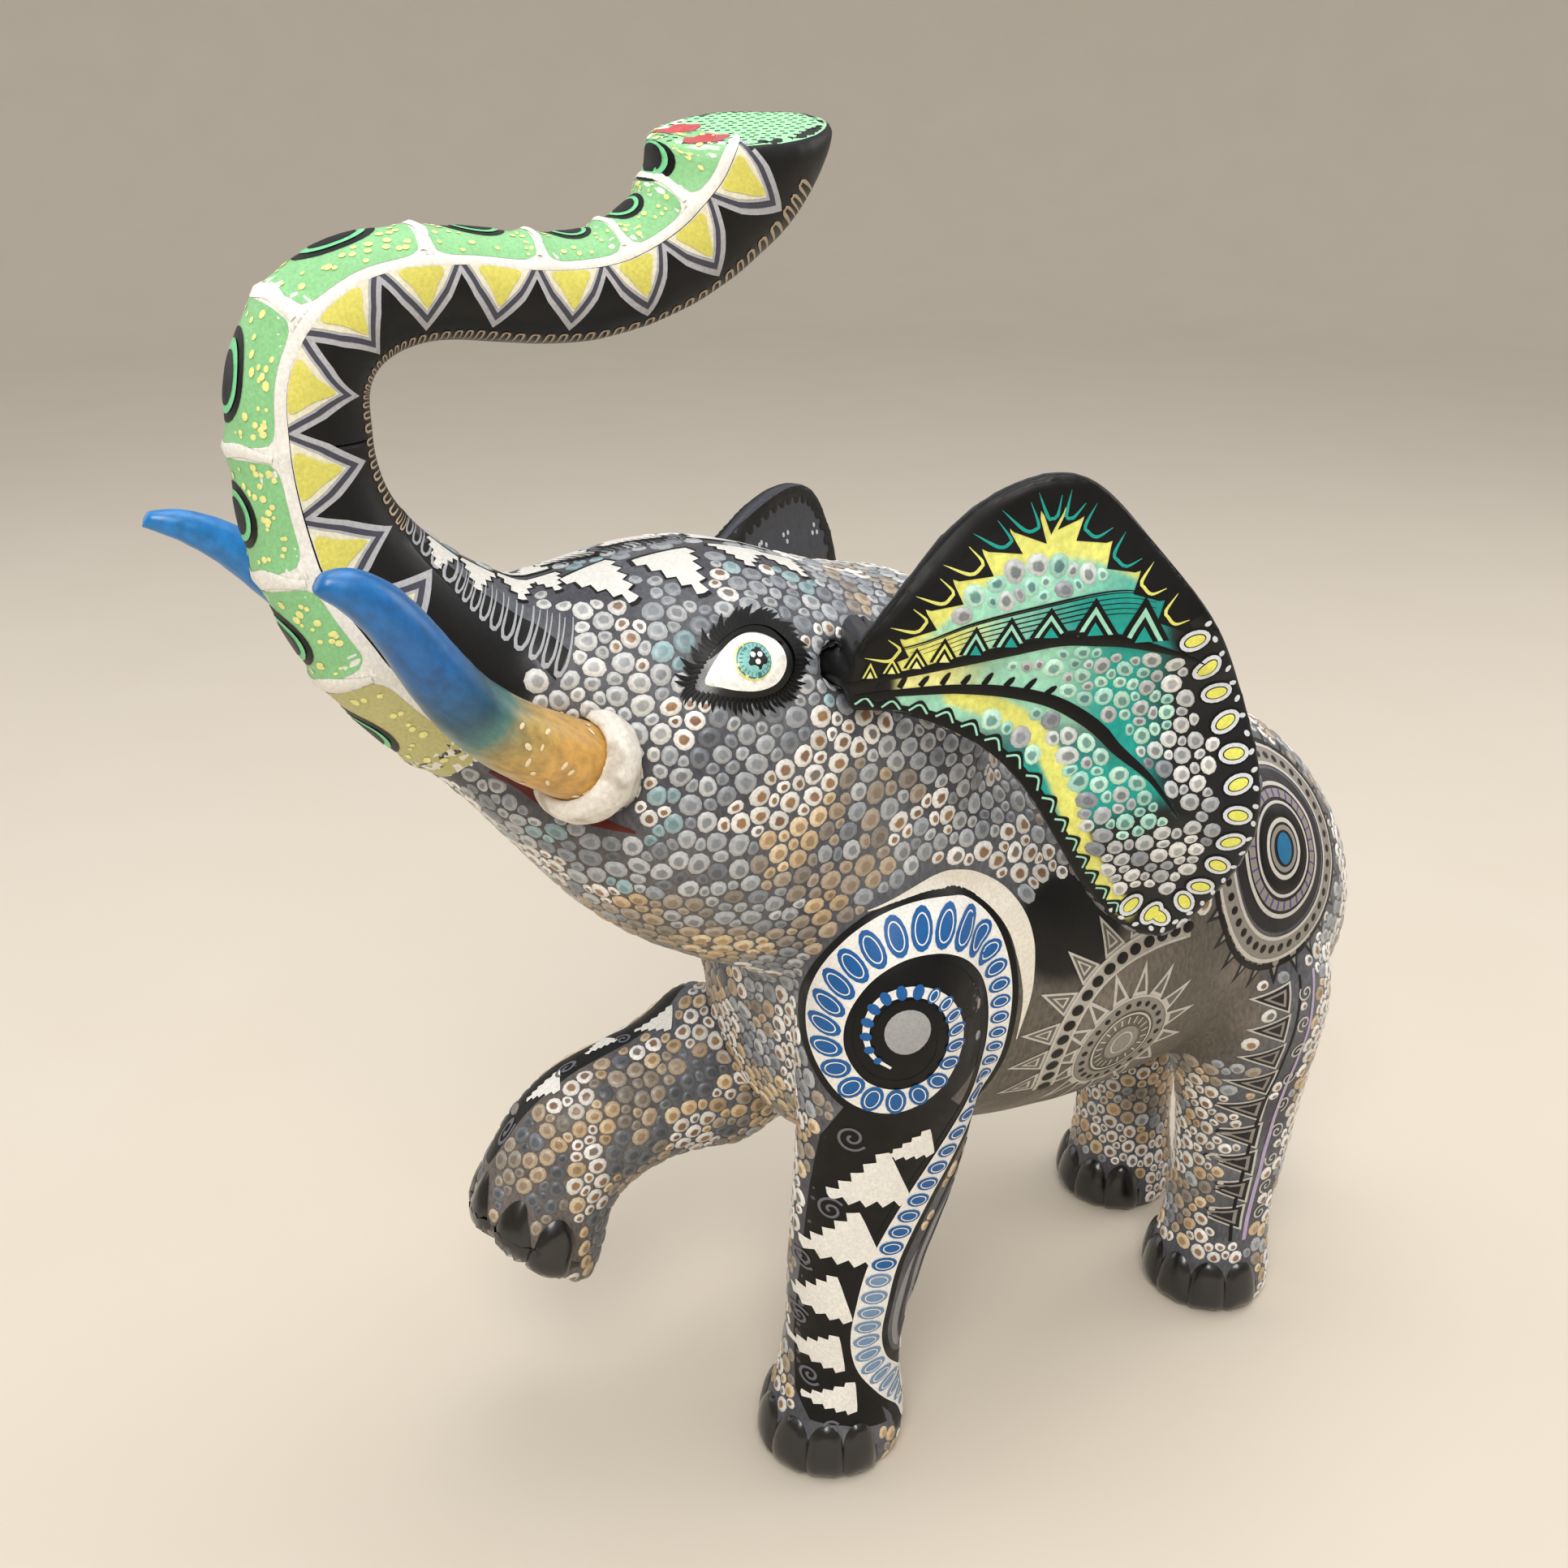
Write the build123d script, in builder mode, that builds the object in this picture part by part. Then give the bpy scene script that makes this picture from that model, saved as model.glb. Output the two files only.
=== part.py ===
from build123d import *
import os

# Carved wooden elephant, striding with its right foreleg and its trunk raised.
# Millimetres. It faces -Y, its left side is +X and +Z is up. The origin is on the
# ground, under the middle of the whole figure.

# Driving dimensions
height = 357            # ground to the cut end of the trunk
leg_x = 28              # middle of each hoof from the centre plane
fore_y = -33            # standing forefoot
left_hind_y = 110       # the hind feet are staggered, as in a stride
right_hind_y = 119
seam_z = 296            # glued seam across the trunk
leg_seam_y = -38        # butt face of the raised foreleg on its shoulder
left_ear_turn = 24      # angle that an ear stands out from the centre plane
right_ear_turn = 30
left_ear_root = (45, -44, 240)
right_ear_root = (-45, -33, 238)
ear_thickness = 5
ear_depth = 20          # room for the ruffle on each side of the outline
ear_reach = 130
right_ear_back = 31     # the right ear is turned back on its peg by this angle
peg_radius = 5          # ear and tail pegs
peg_length = 20
peg_clearance = 0.08    # radial, in the ear and tail sockets
dowel_radius = 4        # dowel across the trunk seam
dowel_length = 26
tenon_radius = 8        # of the raised leg
tenon_length = 18
socket_depth = peg_length + 1
nostrils = [(-4.5, -61), (4.5, -59)]
nostril_depth = 2.5
collar_radius = 13.5
collar_length = 10
collar_sunk = 4       # start of the bead behind the tusk's root
collar_round = 3.6

# Sections of the torso along Y: y, z, half width, half height
torso_sections = [
    (-53, 147, 9, 13),
    (-48, 147, 28, 34),
    (-36, 147, 43, 52),
    (-6, 148, 51, 60),
    (38, 145, 54, 62),
    (78, 145, 53, 60),
    (110, 141, 49, 56),
    (136, 133, 40, 47),
    (152, 126, 27, 33),
    (159, 122, 12, 15),
]

# Sections of the neck and withers along Y: y, z, half width, half height
neck_sections = [
    (-34, 200, 34, 46),
    (-12, 188, 43, 50),
    (12, 172, 46, 48),
    (36, 159, 46, 50),
    (58, 152, 40, 50),
]

# Sections of the head, square to an axis that climbs forward:
# distance along it, shift up, half width, half height
head_start = (0, -18, 192)
head_climb = 24.5
head_sections = [
    (-10, 0, 40, 50),
    (20, 2, 44, 53),
    (48, 1, 45, 50),
    (70, 2, 41, 45),
    (90, 2, 32, 35),
    (106, 1, 25, 26),
    (116, 1, 20, 20),
]

# Middle line of the trunk: y, z, climb in degrees from the forward direction,
# half width across X, half height in the plane of the curl
lower_trunk = [
    (-100, 230, 24, 24, 26),
    (-120, 241, 38, 22.5, 24),
    (-137, 257, 57, 19, 20.5),
    (-148, 276, 76, 15.5, 16.5),
    (-151, seam_z, 90, 14, 14.5),
]
upper_trunk = [
    (-151, seam_z, 90, 14, 14.5),
    (-149, 311, 118, 13.5, 14),
    (-138, 322, 152, 12.5, 13),
    (-118, 325, 180, 11.5, 11.5),
    (-98, 323, 180, 11.5, 11.5),
    (-78, 325, 160, 12, 12),
    (-62, 334, 138, 13, 15),
    (-53, 344, 118, 14, 19),
    (-48, height - 0.5, 92, 14.5, 23),
]

# Sections of a leg down Z: z, shift in X, shift in Y, half width, half length
fore_sections = [
    (182, 9, 9, 10, 12),
    (172, 10, 8, 18, 20),
    (145, 11, 7, 22, 25),
    (112, 9, 8, 20, 25),
    (80, 6, 5, 18, 22),
    (50, 3, 1, 16.5, 17.5),
    (30, 1, 0, 16.5, 17),
    (16, 0, -1, 18.5, 19.5),
    (6, 0, -2, 20, 21),
    (0, 0, -2, 18.5, 19.5),
]
hind_sections = [
    (168, -8, -14, 12, 16),
    (152, -3, -12, 19, 25),
    (120, 2, -5, 23, 30),
    (92, 3, 0, 20, 25),
    (62, 2, 2, 17, 19),
    (36, 1, 1, 16, 16.5),
    (18, 0, 0, 17.5, 18),
    (6, 0, -1, 19.5, 20),
    (0, 0, -1, 18, 18.5),
]

# Raised foreleg, from its shoulder to the sole: y, z, heading of the leg in degrees
# below the forward direction, half width, half height
raised_sections = [
    (leg_seam_y, 96, 4, 21, 24),
    (-58, 95, 6, 19.5, 21.5),
    (-76, 91, 14, 18.5, 20.5),
    (-89, 84, 34, 18, 21),
    (-97, 72, 50, 18.5, 21),
    (-101, 61, 50, 19.5, 21.5),
    (-103.5, 55, 48, 18.5, 20),
]
raised_x = -32
shoulder_sections = [
    (-6, 104, 0, 12, 14),
    (-24, 99, 0, 19, 22),
    (leg_seam_y, 96, 0, 21, 24),
]

# Middle line of a tusk from its root: x, y, z, radius. The tips don't match.
tusk_root = [
    (24, -91, 216, 6),
    (30, -104, 225, 9.2),
    (34, -117, 233, 8.6),
]
left_tusk_tip = [
    (38, -131, 244, 7.5),
    (41, -141, 257, 6.5),
    (43, -150, 270, 5.4),
    (44, -162, 277, 2.2),
]
right_tusk_tip = [
    (39, -131, 241, 7.5),
    (44, -145, 252, 6.5),
    (46, -158, 264, 5.2),
    (47, -177, 273, 2.0),
]

# Outline of an ear in its own plane, from the root: distance back, height
ear_crest = [(-2, 8), (12, 25), (30, 41), (48, 45), (65, 31), (80, 13)]
ear_back = [(89, -4), (95, -24), (95, -44), (88, -61), (77, -70)]
ear_front = [(65, -65), (55, -53), (46, -38), (35, -22), (18, -11), (-2, -7)]
# Ruffle of the ear's plate: height, how far it stands out
ear_ruffle = [(-90, 5), (-62, -3), (-34, 4), (-6, 0), (14, 3), (34, -1), (60, 4)]

tail_root = (0, 156, 134)
tail_line = [
    (0, 163, 134, 5),
    (0, 168, 120, 4.4),
    (0, 171, 98, 3.8),
    (0, 171, 74, 3.6),
    (0, 171, 58, 5.5),
    (0, 171, 42, 1.8),
]


def side(points, sign):
    """The same points on the left (1) or the right (-1) side."""
    return [(sign * x, *rest) for x, *rest in points]


def curl_plane(x, y, z, climb):
    """Plane square to a line in the centre plane that climbs forward by this angle."""
    line = Vector(0, -1, 0).rotate(Axis.X, -climb)
    return Plane(origin=(x, y, z), x_dir=(1, 0, 0), z_dir=line)


def ellipse_loft(planes, sizes):
    """Solid through ellipses, given their planes and half sizes."""
    with BuildPart() as shape:
        for plane, (half_x, half_y) in zip(planes, sizes):
            with BuildSketch(plane):
                Ellipse(half_x, half_y)
        loft()
    return shape.part


def barrel(sections):
    """Solid through upright ellipses along Y."""
    planes = [Plane(origin=(0, y, z), x_dir=(1, 0, 0), z_dir=(0, 1, 0)) for y, z, _, _ in sections]
    return ellipse_loft(planes, [section[2:] for section in sections])


def curl_loft(x, sections, sense=1):
    """Solid along a curl in a plane of constant x."""
    planes = [curl_plane(x, y, z, sense * climb) for y, z, climb, _, _ in sections]
    return ellipse_loft(planes, [section[3:] for section in sections])


def round_loft(points):
    """Solid through circles square to a line of (x, y, z, radius) points."""
    places = [Vector(*point[:3]) for point in points]
    with BuildPart() as shape:
        for i, point in enumerate(points):
            before = places[max(i - 1, 0)]
            after = places[min(i + 1, len(points) - 1)]
            with BuildSketch(Plane(origin=places[i], z_dir=after - before)):
                Circle(point[3])
        loft()
    return shape.part


def leg(x, y, sections):
    """Standing leg over the ground point (x, y)."""
    sign = 1 if x > 0 else -1
    planes = [Plane(origin=(x + sign * dx, y + dy, z)) for z, dx, dy, _, _ in sections]
    return ellipse_loft(planes, [section[3:] for section in sections])


os.makedirs("parts", exist_ok=True)


def write(piece, label):
    piece.part.label = label
    export_step(piece.part, f"parts/{label}.step")


# Raised right foreleg, with a round tenon into the shoulder
raised_shape = curl_loft(raised_x, raised_sections, -1)
with BuildPart() as raised_foreleg:
    add(raised_shape)
    with BuildSketch(Plane.XZ.offset(-leg_seam_y)):
        with Locations((raised_x, 97)):
            Circle(tenon_radius)
    extrude(amount=-tenon_length)

# Dowel across the trunk seam
with BuildPart() as trunk_dowel:
    with Locations((0, upper_trunk[0][0], seam_z)):
        Cylinder(dowel_radius, dowel_length)
    chamfer(trunk_dowel.edges().filter_by(GeomType.CIRCLE), 0.6)

# Upper trunk, cut flat at its end, with two nostrils
upper_shape = curl_loft(0, upper_trunk)
with BuildPart() as trunk_upper:
    add(upper_shape)
    with BuildSketch(Plane.XY.offset(height)):
        Rectangle(400, 400)
    extrude(amount=20, mode=Mode.SUBTRACT)
    with BuildSketch(Plane.XY.offset(height)):
        with Locations(*nostrils):
            Ellipse(2.2, 5)
    extrude(amount=-nostril_depth, mode=Mode.SUBTRACT)
    add(trunk_dowel.part, mode=Mode.SUBTRACT)

# Tusks, each with a round tenon in the head
tusks = {}
for name, sign, tip in (("left", 1, left_tusk_tip), ("right", -1, right_tusk_tip)):
    horn = round_loft(side(tusk_root + tip, sign))
    inner, mouth = [Vector(*point[:3]) for point in side(tusk_root[:2], sign)]
    with BuildPart() as tusk:
        add(horn)
        with BuildSketch(Plane(origin=inner, z_dir=inner - mouth)):
            Circle(tusk_root[0][3])
        extrude(amount=tenon_length / 2)
    tusks[name] = tusk

# Body: torso, neck, head, lower trunk and the three standing legs
torso = barrel(torso_sections)
neck = barrel(neck_sections)
with BuildPart() as head:
    for distance, rise, half_width, half_height in head_sections:
        across = curl_plane(*head_start, head_climb).offset(distance)
        up = across.y_dir if across.y_dir.Z > 0 else -across.y_dir
        with BuildSketch(Plane(origin=across.origin + up * rise, x_dir=(1, 0, 0), z_dir=across.z_dir)):
            RectangleRounded(2 * half_width, 2 * half_height, 0.86 * min(half_width, half_height))
    loft()
trunk_root = curl_loft(0, lower_trunk)
left_foreleg = leg(leg_x - 3, fore_y, fore_sections)
left_hind_leg = leg(leg_x, left_hind_y, hind_sections)
right_hind_leg = leg(-leg_x, right_hind_y, hind_sections)
shoulder = curl_loft(raised_x, shoulder_sections)
with BuildPart() as body:
    add([torso, neck, head.part])
    add(trunk_root)
    add([left_foreleg, left_hind_leg, right_hind_leg, shoulder])
    add(raised_foreleg.part, mode=Mode.SUBTRACT)
    add(trunk_dowel.part, mode=Mode.SUBTRACT)
    add([tusk.part for tusk in tusks.values()], mode=Mode.SUBTRACT)
    # sockets for the pegs of the ears and the tail
    for ear_root in (left_ear_root, right_ear_root):
        with Locations(Location(ear_root, (0, 90, 0))):
            Cylinder(peg_radius + peg_clearance, 2 * socket_depth, mode=Mode.SUBTRACT)
    with Locations(Location(tail_root, (90, 0, 0))):
        Cylinder(peg_radius + peg_clearance, 2 * socket_depth, mode=Mode.SUBTRACT)

# Beads of filler round the roots of the tusks
collars = {}
for name, sign in (("left", 1), ("right", -1)):
    inner, mouth = [Vector(*point[:3]) for point in side(tusk_root[:2], sign)]
    heading = (mouth - inner).normalized()
    with BuildPart() as collar:
        with BuildSketch(Plane(origin=mouth - heading * collar_sunk, z_dir=heading)):
            Circle(collar_radius)
        extrude(amount=collar_length)
        fillet(collar.edges(), collar_round)
        add(tusks[name].part, mode=Mode.SUBTRACT)
        add(body.part, mode=Mode.SUBTRACT)
    collars[name] = collar

# Ears: ruffled leaves, each on a round peg
ears = {}
for name, sign, root, turn, lean in (
    ("left", 1, left_ear_root, left_ear_turn, 0),
    ("right", -1, right_ear_root, right_ear_turn, right_ear_back),
):
    back = Vector(0, 1, 0).rotate(Axis.Z, -sign * turn)
    leaf_plane = Plane(origin=root, x_dir=back, z_dir=back.cross(Vector(0, 0, 1)))
    edge_plane = Plane(origin=root, x_dir=leaf_plane.z_dir * sign, z_dir=-back * sign)
    with BuildPart() as ear:
        with BuildSketch(leaf_plane):
            with BuildLine():
                corners = [Vector(*corner).rotate(Axis.Z, -lean) for corner in ear_crest + ear_back + ear_front]
                outline = Spline(*corners)
                Line(outline @ 1, outline @ 0)
            make_face()
        extrude(amount=ear_depth, both=True)
        with BuildSketch(edge_plane):
            with BuildLine():
                inner = Spline(*[(out, up) for up, out in ear_ruffle])
                outer = Spline(*[(out + ear_thickness, up) for up, out in ear_ruffle])
                Line(inner @ 0, outer @ 0)
                Line(inner @ 1, outer @ 1)
            make_face()
        extrude(amount=ear_reach, both=True, mode=Mode.INTERSECT)
        with BuildSketch(Plane.YZ.offset(root[0] + sign * ear_thickness / 2)):
            with Locations(root[1:]):
                Circle(peg_radius)
        extrude(amount=-sign * (peg_length + ear_thickness / 2))
    ears[name] = ear

# Tail, hanging from its peg
tail_drop = round_loft(tail_line)
with BuildPart() as tail:
    add(tail_drop)
    with Locations(tail_line[0][:3]):
        Sphere(tail_line[0][3])
    with BuildSketch(Plane.XZ.offset(-tail_line[0][1])):
        with Locations((0, tail_root[2])):
            Circle(peg_radius)
    extrude(amount=tail_line[0][1] - tail_root[1] + peg_length)

write(body, "body")
write(raised_foreleg, "raised_foreleg")
write(trunk_upper, "trunk_upper")
write(trunk_dowel, "trunk_dowel")
write(tail, "tail")
for name in ("left", "right"):
    write(tusks[name], f"{name}_tusk")
    write(collars[name], f"{name}_tusk_collar")
    write(ears[name], f"{name}_ear")
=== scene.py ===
import math

import bpy
import bmesh
import numpy as np
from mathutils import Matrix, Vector, noise
from mathutils.bvhtree import BVHTree
from mathutils.kdtree import KDTree
from mathutils.geometry import delaunay_2d_cdt


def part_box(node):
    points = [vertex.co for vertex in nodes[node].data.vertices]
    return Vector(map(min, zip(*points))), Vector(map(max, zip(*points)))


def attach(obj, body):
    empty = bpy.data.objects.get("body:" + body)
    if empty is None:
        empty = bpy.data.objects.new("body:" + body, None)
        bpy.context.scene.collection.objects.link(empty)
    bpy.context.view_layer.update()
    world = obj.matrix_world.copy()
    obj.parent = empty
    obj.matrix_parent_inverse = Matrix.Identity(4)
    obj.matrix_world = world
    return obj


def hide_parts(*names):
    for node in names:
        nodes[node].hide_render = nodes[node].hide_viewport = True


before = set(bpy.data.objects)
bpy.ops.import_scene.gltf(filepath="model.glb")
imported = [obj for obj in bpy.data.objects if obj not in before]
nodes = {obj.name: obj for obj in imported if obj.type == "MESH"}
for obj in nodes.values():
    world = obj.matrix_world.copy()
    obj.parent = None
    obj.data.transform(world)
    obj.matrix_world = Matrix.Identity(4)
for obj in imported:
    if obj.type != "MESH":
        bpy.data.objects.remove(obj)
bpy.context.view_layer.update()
mm = 0.001  # shapes are worked out in millimetres and made in metres
dice = np.random.default_rng(7)


def linear(code):
    # sRGB hex to linear red, green and blue
    parts = [int(code[at:at + 2], 16) / 255 for at in (1, 3, 5)]
    return [p / 12.92 if p <= 0.04045 else ((p + 0.055) / 1.055) ** 2.4 for p in parts]


# curves and tubes

def smoothLine(points, step, closed=False):
    # Catmull-Rom through the given points, any number of values per point
    p = np.array(points, float)
    if closed:
        p = np.vstack([p[-1], p, p[0], p[1]])
    else:
        p = np.vstack([2 * p[0] - p[1], p, 2 * p[-1] - p[-2]])
    out = []
    for a, b, c, d in zip(p[:-3], p[1:-2], p[2:-1], p[3:]):
        count = max(2, int(math.ceil(np.linalg.norm((c - b)[:2]) / step)))
        for t in np.arange(count) / count:
            out.append(0.5 * (2 * b + (c - a) * t + (2 * a - 5 * b + 4 * c - d) * t * t
                              + (3 * b - a - 3 * c + d) * t ** 3))
    if not closed:
        out.append(p[-2])
    return np.array(out)


def blendIn(value, low, high):
    t = np.clip((value - low) / (high - low), 0, 1)
    return t * t * (3 - 2 * t)


class Tube:
    # a limb with its middle line in the YZ plane: y, z and degrees of climb from forward
    def __init__(self, sections, x=0.0):
        self.x = x
        rows = []
        for (y0, z0, c0), (y1, z1, c1) in zip(sections[:-1], sections[1:]):
            a, b = np.array([y0, z0]), np.array([y1, z1])
            reach = np.linalg.norm(b - a)
            way0 = np.array([-math.cos(math.radians(c0)), math.sin(math.radians(c0))]) * reach
            way1 = np.array([-math.cos(math.radians(c1)), math.sin(math.radians(c1))]) * reach
            for t in np.arange(0, 1, 0.5 / reach):
                rows.append((2 * t**3 - 3 * t**2 + 1) * a + (t**3 - 2 * t**2 + t) * way0
                            + (3 * t**2 - 2 * t**3) * b + (t**3 - t**2) * way1)
        rows.append(np.array(sections[-1][:2]))
        self.line = np.array(rows)
        self.along = np.concatenate([[0], np.cumsum(np.linalg.norm(np.diff(self.line, axis=0), axis=1))])
        self.length = self.along[-1]

    def at(self, along):
        # middle point and the direction out of the belly side of the limb
        y = np.interp(along, self.along, self.line[:, 0])
        z = np.interp(along, self.along, self.line[:, 1])
        ahead = min(max(along, 1.0), self.length - 1.0)
        dy = np.interp(ahead + 1, self.along, self.line[:, 0]) - np.interp(ahead - 1, self.along,
                                                                           self.line[:, 0])
        dz = np.interp(ahead + 1, self.along, self.line[:, 1]) - np.interp(ahead - 1, self.along,
                                                                           self.line[:, 1])
        size = math.hypot(dy, dz)
        return Vector((self.x, y, z)), Vector((0, -dz / size, dy / size))

    def nearest(self, points):
        # how far along each point lies, and its angle from the left side towards the belly side
        best = np.full(len(points), 1e9)
        along = np.zeros(len(points))
        angle = np.zeros(len(points))
        ahead = np.gradient(self.line, axis=0)
        ahead /= np.linalg.norm(ahead, axis=1)[:, None]
        for i in range(0, len(self.line), 2):
            dy = points[:, 1] - self.line[i, 0]
            dz = points[:, 2] - self.line[i, 1]
            far = dy * dy + dz * dz
            closer = far < best
            best[closer] = far[closer]
            along[closer] = self.along[i]
            belly = -dy * ahead[i, 1] + dz * ahead[i, 0]
            angle[closer] = np.degrees(np.arctan2(belly, points[:, 0] - self.x))[closer]
        return along, angle, np.sqrt(best)


# carving: the imported solids joined, smoothed like sanded wood and worked

def meshArrays(mesh):
    points = np.empty(len(mesh.vertices) * 3)
    mesh.vertices.foreach_get("co", points)
    corners = np.empty(len(mesh.loops), int)
    mesh.loops.foreach_get("vertex_index", corners)
    edges = np.empty(len(mesh.edges) * 2, int)
    mesh.edges.foreach_get("vertices", edges)
    return points.reshape(-1, 3) / mm, corners.reshape(-1, 4), edges.reshape(-1, 2)


def sand(points, edges, rounds, strength=0.5):
    neighbours = np.bincount(edges.ravel(), minlength=len(points))[:, None]
    for turn in range(rounds):
        total = np.zeros_like(points)
        for axis in range(3):
            total[:, axis] = np.bincount(edges[:, 0], points[edges[:, 1], axis], len(points))
            total[:, axis] += np.bincount(edges[:, 1], points[edges[:, 0], axis], len(points))
        points += strength * (total / neighbours - points)
    return points


def normalsOf(points, quads):
    flat = np.cross(points[quads[:, 2]] - points[quads[:, 0]], points[quads[:, 3]] - points[quads[:, 1]])
    out = np.zeros_like(points)
    for corner in range(4):
        for axis in range(3):
            out[:, axis] += np.bincount(quads[:, corner], flat[:, axis], len(points))
    return out / np.maximum(np.linalg.norm(out, axis=1), 1e-12)[:, None]


def carve(name, wanted, grain, rounds):
    block = bpy.data.meshes.new(name + "Block")
    joined = bmesh.new()
    for node in wanted:
        joined.from_mesh(nodes[node].data)
    joined.to_mesh(block)
    joined.free()
    rough = bpy.data.objects.new(name + "Block", block)
    bpy.context.collection.objects.link(rough)
    knife = rough.modifiers.new("knife", "REMESH")
    knife.mode = "VOXEL"
    knife.voxel_size = grain * mm
    carved = bpy.data.meshes.new_from_object(rough.evaluated_get(bpy.context.evaluated_depsgraph_get()))
    bpy.data.objects.remove(rough)
    bpy.data.meshes.remove(block)
    points, quads, edges = meshArrays(carved)
    bpy.data.meshes.remove(carved)
    return sand(points, edges, rounds), quads


def treeOf(points, faces):
    return BVHTree.FromPolygons(points.tolist(), faces.tolist())


def setPointColours(mesh, name, colours):
    layer = mesh.attributes.new(name, "FLOAT_COLOR", "POINT")
    full = np.ones((len(colours), 4))
    full[:, :3] = colours
    layer.data.foreach_set("color", full.ravel())


def finishPiece(name, mesh, body, material, replaced=()):
    mesh.materials.append(material)
    mesh.polygons.foreach_set("use_smooth", [True] * len(mesh.polygons))
    piece = bpy.data.objects.new(name, mesh)
    bpy.context.collection.objects.link(piece)
    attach(piece, body)
    if replaced:
        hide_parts(*replaced)
    return piece


# paint: marks laid on the carved surface, each a thin raised patch

def newPaint():
    return {"points": [], "faces": [], "colours": [], "normals": []}


def lay(paint, spots, faces, colour, heights):
    # spots are (point, normal) pairs; faces that lost a corner are left out
    start = len(paint["points"])
    for (point, normal), height in zip(spots, heights):
        paint["points"].append(point + normal * height if point is not None else Vector())
        paint["normals"].append(normal if point is not None else None)
        paint["colours"].append(colour)
    for face in faces:
        if any(spots[i][0] is None for i in face):
            continue
        a, b, c = (spots[i][0] for i in face[:3])
        span = max((a - b).length, (b - c).length, (a - c).length)
        if span > 9:
            continue
        out = (b - a).cross(c - a)
        turned = face if out.dot(spots[face[0]][1]) > 0 else face[::-1]
        paint["faces"].append([start + i for i in turned])


coat = 0.07  # thickness of one coat of acrylic, mm


def fill(paint, outline, place, colour, layer, step=1.9, dome=0.0):
    ring = np.array(outline, float)
    edge = []
    for a, b in zip(ring, np.roll(ring, -1, axis=0)):
        for t in np.arange(max(1, int(round(np.linalg.norm(b - a) / step)))):
            edge.append(a + (b - a) * t / max(1, int(round(np.linalg.norm(b - a) / step))))
    edge = np.array(edge)
    low, high = edge.min(0), edge.max(0)
    rows = []
    for j, v in enumerate(np.arange(low[1] + step * 0.5, high[1], step * 0.87)):
        for u in np.arange(low[0] + step * (0.25 + 0.5 * (j % 2)), high[0], step):
            rows.append((u, v))
    inner = np.array(rows).reshape(-1, 2)
    if len(inner):
        after = np.roll(edge, -1, axis=0)
        crossing = (edge[None, :, 1] > inner[:, None, 1]) != (after[None, :, 1] > inner[:, None, 1])
        rise = np.where(after[:, 1] == edge[:, 1], 1e-9, after[:, 1] - edge[:, 1])
        where = edge[:, 0] + (inner[:, None, 1] - edge[:, 1]) / rise * (after[:, 0] - edge[:, 0])
        inside = (crossing & (inner[:, None, 0] < where)).sum(1) % 2 == 1
        near = np.linalg.norm(inner[:, None] - edge[None], axis=2).min(1)
        room = near
        inner = inner[inside & (near > step * 0.45)]
        room = room[inside & (near > step * 0.45)]
    flat = [Vector(p) for p in edge] + [Vector(p) for p in inner]
    loop = list(range(len(edge)))
    found = delaunay_2d_cdt(flat, [], [loop], 1, 1e-4)
    spots = [place(p.x, p.y) for p in found[0]]
    heights = []
    middle = room.max() if len(inner) else 1
    for sources in found[3]:
        inward = 0.0
        if sources and sources[0] >= len(edge):
            inward = min(1.0, room[sources[0] - len(edge)] / middle)
        heights.append(coat * (layer + 1) + dome * math.sqrt(max(0.0, 1 - (1 - inward) ** 2)))
    lay(paint, spots, [list(f) for f in found[2]], colour, heights)


def stroke(paint, path, width, place, colour, layer, tips=(1, 1), step=1.3, swell=0.06):
    # path is a list of (u, v) or (u, v, width); tips narrow the two ends, 0 for a point
    line = smoothLine(path, step) if len(path) > 2 else np.array(
        [np.array(path[0]) + (np.array(path[1]) - np.array(path[0])) * t
         for t in np.linspace(0, 1, max(2, 1 + int(math.dist(path[0][:2], path[1][:2]) / step)))])
    ahead = np.gradient(line[:, :2], axis=0)
    ahead /= np.maximum(np.linalg.norm(ahead, axis=1), 1e-9)[:, None]
    wide = line[:, 2] if line.shape[1] > 2 else np.full(len(line), width)
    share = np.linspace(0, 1, len(line))
    narrow = np.minimum(tips[0] + (1 - tips[0]) * np.minimum(1, share * 3), 1)
    narrow = np.minimum(narrow, tips[1] + (1 - tips[1]) * np.minimum(1, (1 - share) * 3))
    across = np.column_stack([-ahead[:, 1], ahead[:, 0]]) * (wide * narrow * 0.5)[:, None]
    lanes = 2 if wide.max() < 3 else 2 * int(math.ceil(wide.max() / 3.2))
    spots, faces, heights = [], [], []
    for row, (p, side) in enumerate(zip(line[:, :2], across)):
        for lane in range(lanes + 1):
            share = lane / lanes * 2 - 1
            spots.append(place(*(p + side * share)))
            heights.append(coat * (layer + 1) + swell * (1 - share * share))
            if row and lane:
                here = row * (lanes + 1) + lane
                faces.append([here - lanes - 2, here - lanes - 1, here, here - 1])
    lay(paint, spots, faces, colour, heights)


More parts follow.
